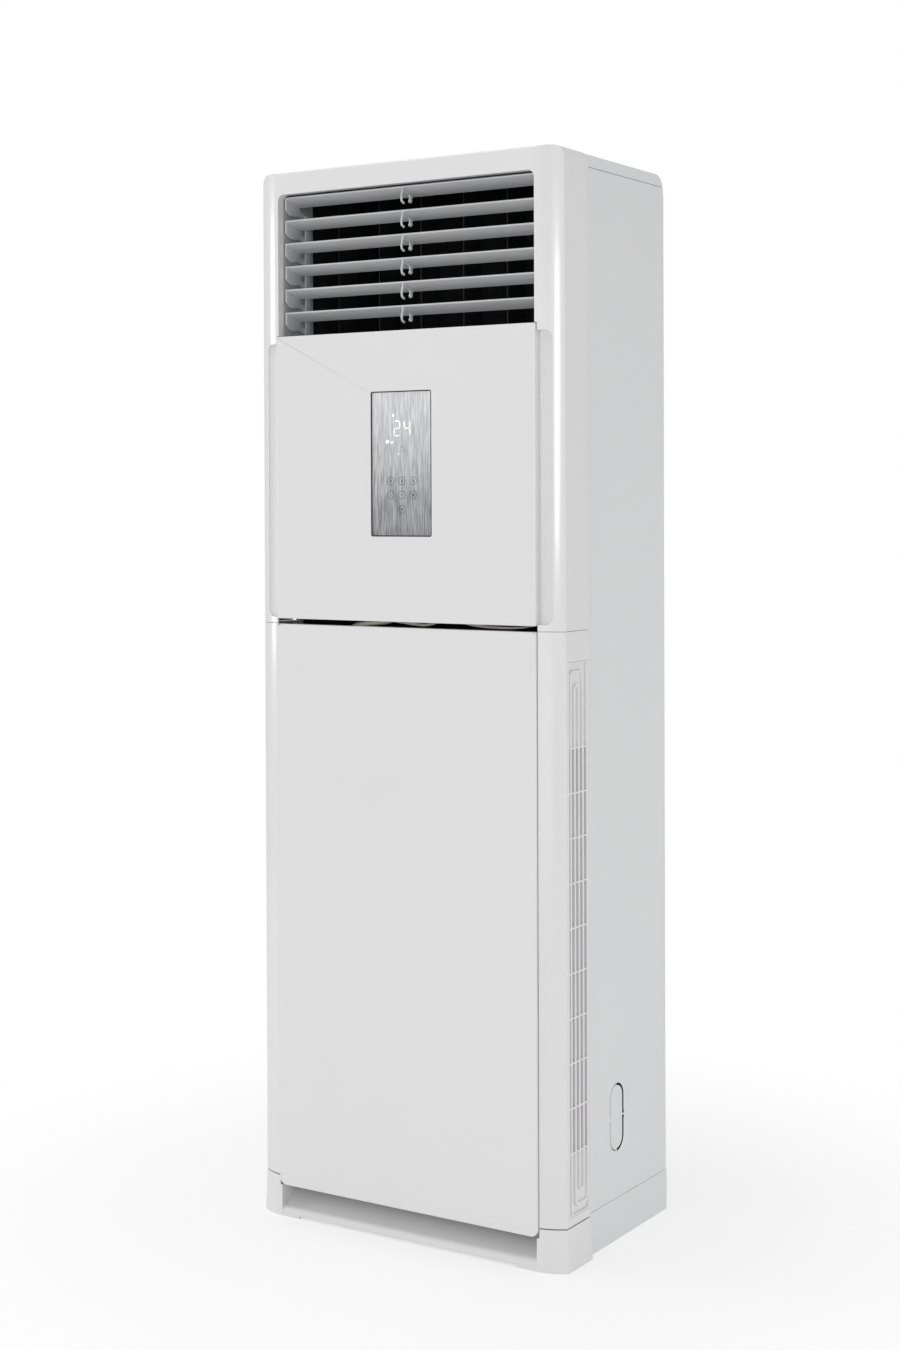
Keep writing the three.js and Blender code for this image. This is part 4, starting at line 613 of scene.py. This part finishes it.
lit_white = Look("lit_white", Roughness=0.4, Emission_Strength=1.0)
lit_white.set("Base Color", tone(250, 250, 250))
glow = lit_white.mix(tone(200, 204, 210), tone(238, 242, 246), lit_white.noise(0.002, 2))
lit_white.set("Emission Color", glow)
key_grey = Look("key_grey", Roughness=0.5)
key_grey.set("Base Color", key_grey.mix(tone(66, 68, 71), tone(90, 92, 95), key_grey.noise(0.001, 2)))

mark_thickness = 0.0001


def stroke(shape, x, z, length, width, angle=0.0):
    """Adds a thin bar to the face of the plate, placed in millimetres from its foot."""
    spot = Matrix.Translation((x / 1000, plate_front - mark_thickness / 2, window_bottom + z / 1000))
    lean = Matrix.Rotation(math.radians(angle), 4, "Y")
    return block(shape, (0, 0, 0), (length / 1000, mark_thickness, width / 1000), spot @ lean)


def ring(shape, x, z, radius, width):
    """Adds a thin ring to the face of the plate, in millimetres from its foot."""
    centre = Vector((x / 1000, plate_front - mark_thickness / 2, window_bottom + z / 1000))
    made = stroke(shape, x + radius, z, width, width)
    faces = {face for vert in made for face in vert.link_faces}
    start = [face for face in faces if face.calc_center_median().z > centre.z + width / 2100]
    bmesh.ops.delete(shape, geom=[face for face in faces if face not in start], context="FACES")
    bmesh.ops.spin(
        shape, geom=[*start, *{e for f in start for e in f.edges}, *{v for f in start for v in f.verts}],
        cent=centre, axis=(0, 1, 0), angle=2 * math.pi, steps=32, use_merge=True,
    )


digit_height = 25
digit_width = 11.5
stroke_width = 1.15
corner_gap = 2.6
digit_middle = 184.6


def digit(shape, lit, x, z):
    """Adds a figure made of seven strokes, of which the named ones are lit."""
    half, rise = digit_width / 2, digit_height / 4
    across, upright = digit_width - corner_gap, digit_height / 2 - corner_gap
    places = {
        "top": (x, z + 2 * rise, across, 0),
        "middle": (x, z, across, 0),
        "bottom": (x, z - 2 * rise, across, 0),
        "upper_left": (x - half, z + rise, upright, 90),
        "upper_right": (x + half, z + rise, upright, 90),
        "lower_left": (x - half, z - rise, upright, 90),
        "lower_right": (x + half, z - rise, upright, 90),
    }
    for name in lit:
        stroke_x, stroke_z, length, angle = places[name]
        stroke(shape, stroke_x, stroke_z, length, stroke_width, angle)


figures = bmesh.new()
digit(figures, ("top", "upper_right", "middle", "lower_left", "bottom"), -8.8, digit_middle)
digit(figures, ("upper_left", "upper_right", "middle", "lower_right"), 11.6, digit_middle)
for angle in (0, 60, 120):
    stroke(figures, -28.7, 162, 8, 0.9, angle)
for angle in (0, 45, 90, 135):
    stroke(figures, -16.6, 207, 4, 0.8, angle)
stroke(figures, -20.6, 161, 5, 0.9, 60)
stroke(figures, -17.8, 161, 5, 0.9, -60)
stroke(figures, -6.4, 141, 2.6, 1.2, 0)
finished("display_figures", figures, "cabinet", lit_white)

keys = bmesh.new()
key_signs = {
    (-22, 95): (0, 90), (1, 95): (60, 120), (24, 95): (45, 90),
    (-22, 71): (90,), (1, 71): (0,), (24, 71): (0, 60, 120), (1, 46.5): (45, 135),
}
for (key_x, key_z), angles in key_signs.items():
    ring(keys, key_x, key_z, 6.8, 0.75)
    for angle in angles:
        stroke(keys, key_x, key_z, 6.5, 0.9, angle)
ring(keys, 2, 149, 4.6, 0.4)
finished("touch_keys", keys, "cabinet", key_grey)

# ---- Outlet -------------------------------------------------------------------------------
# A grey box behind the mouth holds six louvers between its side walls. An upright strap
# beside the left wall ties their cranks together, and a small geared motor turns one.

louver_grey = coated("louver_grey", tone(196, 197, 198), tone(204, 205, 206), 0.4, 0.0012, 0.00003)
liner_grey = coated("liner_grey", tone(168, 170, 171), tone(182, 183, 185), 0.5, 0.0014, 0.00004)

take("louver_box", "cabinet", liner_grey, 0.5)
for number in range(1, 7):
    take(f"louver_{number}", f"louver_{number}", louver_grey, 0.35)
take("louver_link", "louver_link", louver_grey, 0.35)
take("louver_motor", "cabinet", zinc_steel, 0.3)

# ---- Vanes --------------------------------------------------------------------------------
# Six upright black blades behind the louvers swing together from side to side, tied by a
# flat bar along their foot and turned by a second geared motor in the roof of the box.

for number in range(1, 7):
    take(f"vane_{number}", f"vane_{number}", black_edge, 0.3)
take("vane_link", "vane_link", black_edge, 0.3)
take("vane_motor", "cabinet", zinc_steel, 0.3)

# ---- Foam duct ----------------------------------------------------------------------------
# A thick lining of black foam under the cover. It turns the air from the coil forward to
# the outlet and keeps the outer sheets dry.

take("foam_duct", "cabinet", foam_black, 1.5)

# ---- Coil and water -----------------------------------------------------------------------
# Hundreds of thin aluminium fins stand on copper tubes between two end plates, leaning back
# over a tray that catches the water. A sheet closes the space in front.

aluminium = Look("fin_aluminium", Metallic=0.9)
dull_patches = aluminium.noise(0.02, 3)
aluminium.set("Base Color", aluminium.mix(tone(190, 193, 196), tone(214, 216, 218), dull_patches))
aluminium.set("Roughness", aluminium.noise(0.006, 3) * 0.2 + 0.28)
aluminium.relief(aluminium.noise(0.0015, 2), 0.00005)

copper = Look("copper_pipe", Metallic=0.9)
tarnish = copper.noise(0.03, 4)
copper.set("Base Color", copper.mix(tone(190, 116, 78), tone(140, 88, 62), tarnish.ramp(0.45, 0.75)))
copper.set("Roughness", tarnish * 0.3 + 0.2)
copper.relief(copper.noise(0.002, 2), 0.00003)

coil_foot = Vector((0, behind(132), 1.083))
coil_head = Vector((0, behind(345), 1.5165))
coil_length = (coil_head - coil_foot).length
coil_lean = math.asin((coil_head.y - coil_foot.y) / coil_length)
coil_place = Matrix.Translation(coil_foot) @ Matrix.Rotation(-coil_lean, 4, "X")
coil_half, coil_depth = 0.232, 0.044
fin_count, fin_thickness, fin_margin = 240, 0.00015, 0.0003

fins = bmesh.new()
first_fin = (fin_margin - coil_half, 0, coil_length / 2)
block(fins, first_fin, (fin_thickness, coil_depth, coil_length), coil_place)
fin_pitch = (2 * coil_half - 2 * fin_margin) / (fin_count - 1)
bmesh.ops.spin(
    fins, geom=[*fins.verts, *fins.edges, *fins.faces], cent=(0, 0, 0), axis=(1, 0, 0), angle=0,
    dvec=(fin_pitch, 0, 0), steps=fin_count - 1, use_duplicate=True,
)
finished("coil_fins", fins, "cabinet", aluminium, 0, ["fin_pack"])

tube_count, tube_pitch, tube_radius, row_offset = 19, 0.0254, 0.0042, 0.0105
tube_overhang = 0.003
plate_face = coil_half + 0.0018
first_tube = (coil_length - (tube_count - 1) * tube_pitch) / 2
tube_levels = [first_tube + number * tube_pitch for number in range(tube_count)]

tubes = bmesh.new()
for row in (-row_offset, row_offset):
    for level in tube_levels:
        lie = Matrix.Translation((0, row, level)) @ Matrix.Rotation(math.pi / 2, 4, "Y")
        bmesh.ops.create_cone(
            tubes, cap_ends=True, segments=12, radius1=tube_radius, radius2=tube_radius,
            depth=2 * plate_face + 2 * tube_overhang, matrix=coil_place @ lie,
        )
for side, first in ((1, 0), (-1, 1)):
    for row in (-row_offset, row_offset):
        for number in range(first, tube_count - 1, 2):
            level = tube_levels[number]
            start = Matrix.Translation((side * (plate_face + tube_overhang), row, level))
            mouth = bmesh.ops.create_circle(
                tubes, segments=12, radius=tube_radius,
                matrix=coil_place @ start @ Matrix.Rotation(math.pi / 2, 4, "Y"),
            )["verts"]
            bend = Vector((side * (plate_face + tube_overhang), row, level + tube_pitch / 2))
            bmesh.ops.spin(
                tubes, geom=[*mouth, *{edge for vert in mouth for edge in vert.link_edges}],
                cent=coil_place @ bend, axis=coil_place.to_3x3() @ Vector((0, -side, 0)),
                angle=math.pi, steps=10,
            )
finished("coil_tubes", tubes, "cabinet", copper)

plate_thickness, plate_overlap = 0.0015, 0.006
plate_middle = coil_half + 0.00105
foot_low, foot_high = behind(122), behind(156)

for side, node in ((1, "right_coil_end"), (-1, "left_coil_end")):
    plate = bmesh.new()
    plate_size = (plate_thickness, coil_depth + plate_overlap, coil_length + plate_overlap)
    block(plate, (side * plate_middle, 0, coil_length / 2), plate_size, coil_place)
    foot_bottom, foot_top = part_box(node)[0].z, coil_foot.z + 0.02
    foot = (side * plate_middle, (foot_low + foot_high) / 2, (foot_bottom + foot_top) / 2)
    block(plate, foot, (plate_thickness, foot_high - foot_low, foot_top - foot_bottom))
    finished(node + "_plate", plate, "cabinet", zinc_steel, 0.3, [node])

take("coil_cover", "cabinet", zinc_steel, 0.3)

pad_middle, pad_size = (0, behind(98.9), 1.2856), (0.56, 0.0045, 0.482)
pad = bmesh.new()
block(pad, pad_middle, pad_size)
finished("cover_pad", pad, "cabinet", foam_black, 1)
take("drain_tray", "cabinet", liner_grey, 0.5)
take("suction_pipe", "cabinet", copper, 0)
take("liquid_pipe", "cabinet", copper, 0)
hose_grey = coated("hose_grey", tone(146, 146, 143), tone(162, 162, 159), 0.7, 0.003, 0.0001)
hose_grey.relief(hose_grey.along("Z").wave(0.004), 0.0008)
take("drain_hose", "cabinet", hose_grey, 0)

# ---- Blower -------------------------------------------------------------------------------
# A wheel of forward curved blades turns in a scroll of zinc coated sheet. It draws air in
# through a turned ring in front and throws it up through the neck. The motor sits behind.

wheel_white = coated("wheel_white", tone(214, 214, 210), tone(224, 224, 220), 0.5, 0.002, 0.00004)
motor_grey = coated("motor_grey", tone(78, 82, 86), tone(92, 95, 99), 0.5, 0.002, 0.00006)
axle = Vector((-0.012, 0, 0.711))


def turned(shape, profile, steps=80):
    """Turns a closed outline of radii and depths, in millimetres, about the blower's axle."""
    corners = [shape.verts.new((axle.x, behind(depth), axle.z + radius / 1000))
               for radius, depth in profile]
    rim = [shape.edges.new(pair) for pair in zip(corners, [*corners[1:], corners[0]])]
    bmesh.ops.spin(
        shape, geom=[*corners, *rim], cent=axle, axis=(0, 1, 0), angle=2 * math.pi, steps=steps,
        use_merge=True,
    )


take("fan_housing", "cabinet", zinc_steel, 0.4)

bell_mouth = bmesh.new()
turned(bell_mouth, [
    (158, 145.7), (158, 147.7), (146, 147.7), (141, 149), (138, 150.7), (136.2, 153), (135.5, 156.7),
    (133.5, 156.7), (134, 151), (135.4, 147), (138, 143.4), (142, 140.7), (146.5, 139.2), (151, 138.8),
    (152, 140.7), (148, 143), (145, 145.7),
], 96)
finished("inlet_bell_mouth", bell_mouth, "cabinet", zinc_steel, 0, ["inlet_ring"])

wheel = bmesh.new()
turned(wheel, [
    (6.5, 261), (15, 261), (16, 262), (18, 279), (20, 281), (60, 284.5), (166.5, 284.5), (167.5, 285),
    (167.5, 286.5), (166.5, 287), (6.5, 287),
])
turned(wheel, [
    (152, 159), (167, 159), (168, 160), (168, 166.5), (167.3, 167), (166.5, 166.5),
    (166.5, 161), (152, 161),
])
blade_count = 40
blade_root = Vector((axle.x, 0, axle.z + 0.139))
blade_bend = Vector((axle.x + 0.0199, 0, axle.z + 0.1449))
blade_sweep = math.radians(100)
blade_ends, blade_thickness = (160.5, 284.8), 0.0012
blade = bmesh.new()
edge = [blade.verts.new((blade_root.x, behind(depth), blade_root.z)) for depth in blade_ends]
bmesh.ops.spin(
    blade, geom=[*edge, blade.edges.new(edge)], cent=blade_bend, axis=(0, 1, 0),
    angle=blade_sweep, steps=7,
)
bmesh.ops.recalc_face_normals(blade, faces=blade.faces)
bmesh.ops.solidify(blade, geom=blade.faces, thickness=blade_thickness)
bmesh.ops.spin(
    blade, geom=[*blade.verts, *blade.edges, *blade.faces], cent=axle, axis=(0, 1, 0),
    angle=2 * math.pi * (blade_count - 1) / blade_count, steps=blade_count - 1, use_duplicate=True,
)
blades = bpy.data.meshes.new("blades")
blade.to_mesh(blades)
blade.free()
wheel.from_mesh(blades)
bpy.data.meshes.remove(blades)
finished("wheel_with_blades", wheel, "blower", wheel_white, 0, ["blower_wheel"])

take("fan_shaft", "blower", zinc_steel, 0.3)
motor = bmesh.new()
turned(motor, [
    (6.5, 301.6), (21, 301.6), (22, 302), (30, 307.6), (52, 309.2), (57, 311.5), (60.8, 315), (62, 319),
    (62, 332), (61, 332.6), (61, 334), (62, 334.6), (62, 350.6), (61, 351.2), (61, 352.6), (62, 353.2),
    (62, 366), (60.8, 370), (57, 373.6), (52, 376), (20, 377.6), (17, 378.4), (16, 383.6), (6.5, 383.6),
], 64)
finished("motor_can", motor, "cabinet", motor_grey, 0, ["fan_motor"])
take("motor_bracket", "cabinet", zinc_steel, 0.3)

# ---- Partition and electrics --------------------------------------------------------------
# A sheet floor parts the blower from the coil. The electrical box hangs in front of it with
# the main board inside, and a cable runs up from it to the display board.

harness_white = coated("harness_white", tone(212, 208, 198), tone(222, 218, 208), 0.6, 0.002, 0.0001)
take("partition", "cabinet", zinc_steel, 0.3)
take("electrical_box", "cabinet", zinc_steel, 0.3)
take("electrical_box_cover", "cabinet", zinc_steel, 0.3)
board_with_parts("main_board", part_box("main_board")[0].y + 0.038)
take("display_harness", "cabinet", harness_white, 0)

# ---- Sensor wires -------------------------------------------------------------------------
# Three thin pale wires run from a plug on the display board down behind the frame's rail,
# along the gap over the door and back to the clipped sensor on the coil cover.

wire_radius = 0.9
wire_places = [
    (28, 13, 1238), (22, 18, 1228), (-20, 22, 1200), (-66, 23, 1150), (-98, 23, 1110), (-92, 23, 1080),
    (-70, 23, 1066), (-30, 22, 1061), (10, 22, 1057.5), (36, 22, 1055.5), (62, 23, 1063), (84, 24, 1069),
    (104, 23, 1063), (136, 22, 1057.5), (186, 22, 1055.8), (226, 24, 1056.5), (244, 36, 1061),
    (250, 56, 1067), (251, 76, 1073), (250, 88, 1078), (250, 92.4, 1090),
]
wires = bpy.data.curves.new("sensor_wires", "CURVE")
wires.dimensions = "3D"
wires.bevel_depth = wire_radius / 1000
wires.bevel_resolution = 3
wires.use_fill_caps = True
for number, (aside, back, up) in enumerate([(0, 0, 0), (1.6, 1.3, 1.1), (-1.2, 0.2, 1.9)]):
    run = wires.splines.new("NURBS")
    run.points.add(len(wire_places) - 1)
    run.order_u = 4
    run.use_endpoint_u = True
    for turn, (point, (x, depth, z)) in enumerate(zip(run.points, wire_places)):
        loose = 0.8 * math.sin(1.3 * turn + 2.1 * number)
        point.co = ((x + aside) / 1000, behind(depth + back), (z + up + loose) / 1000, 1)
wires.materials.append(harness_white.material)
sensor_wires = bpy.data.objects.new("sensor_wires", wires)
bpy.context.collection.objects.link(sensor_wires)
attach(sensor_wires, "cabinet")

plug_middle, plug_size = (0.0285, behind(11.3), 1.239), (0.012, 0.0056, 0.007)
plug = bmesh.new()
block(plug, plug_middle, plug_size)
finished("wire_plug", plug, "cabinet", harness_white, 0.4)

sensor_radius, sensor_length = 0.0042, 0.03
sensor = bmesh.new()
bmesh.ops.create_cone(
    sensor, cap_ends=True, segments=20, radius1=sensor_radius, radius2=sensor_radius,
    depth=sensor_length, matrix=Matrix.Translation((0.25, behind(92.4), 1.1)),
)
finished("coil_sensor", sensor, "cabinet", copper, 0.5)
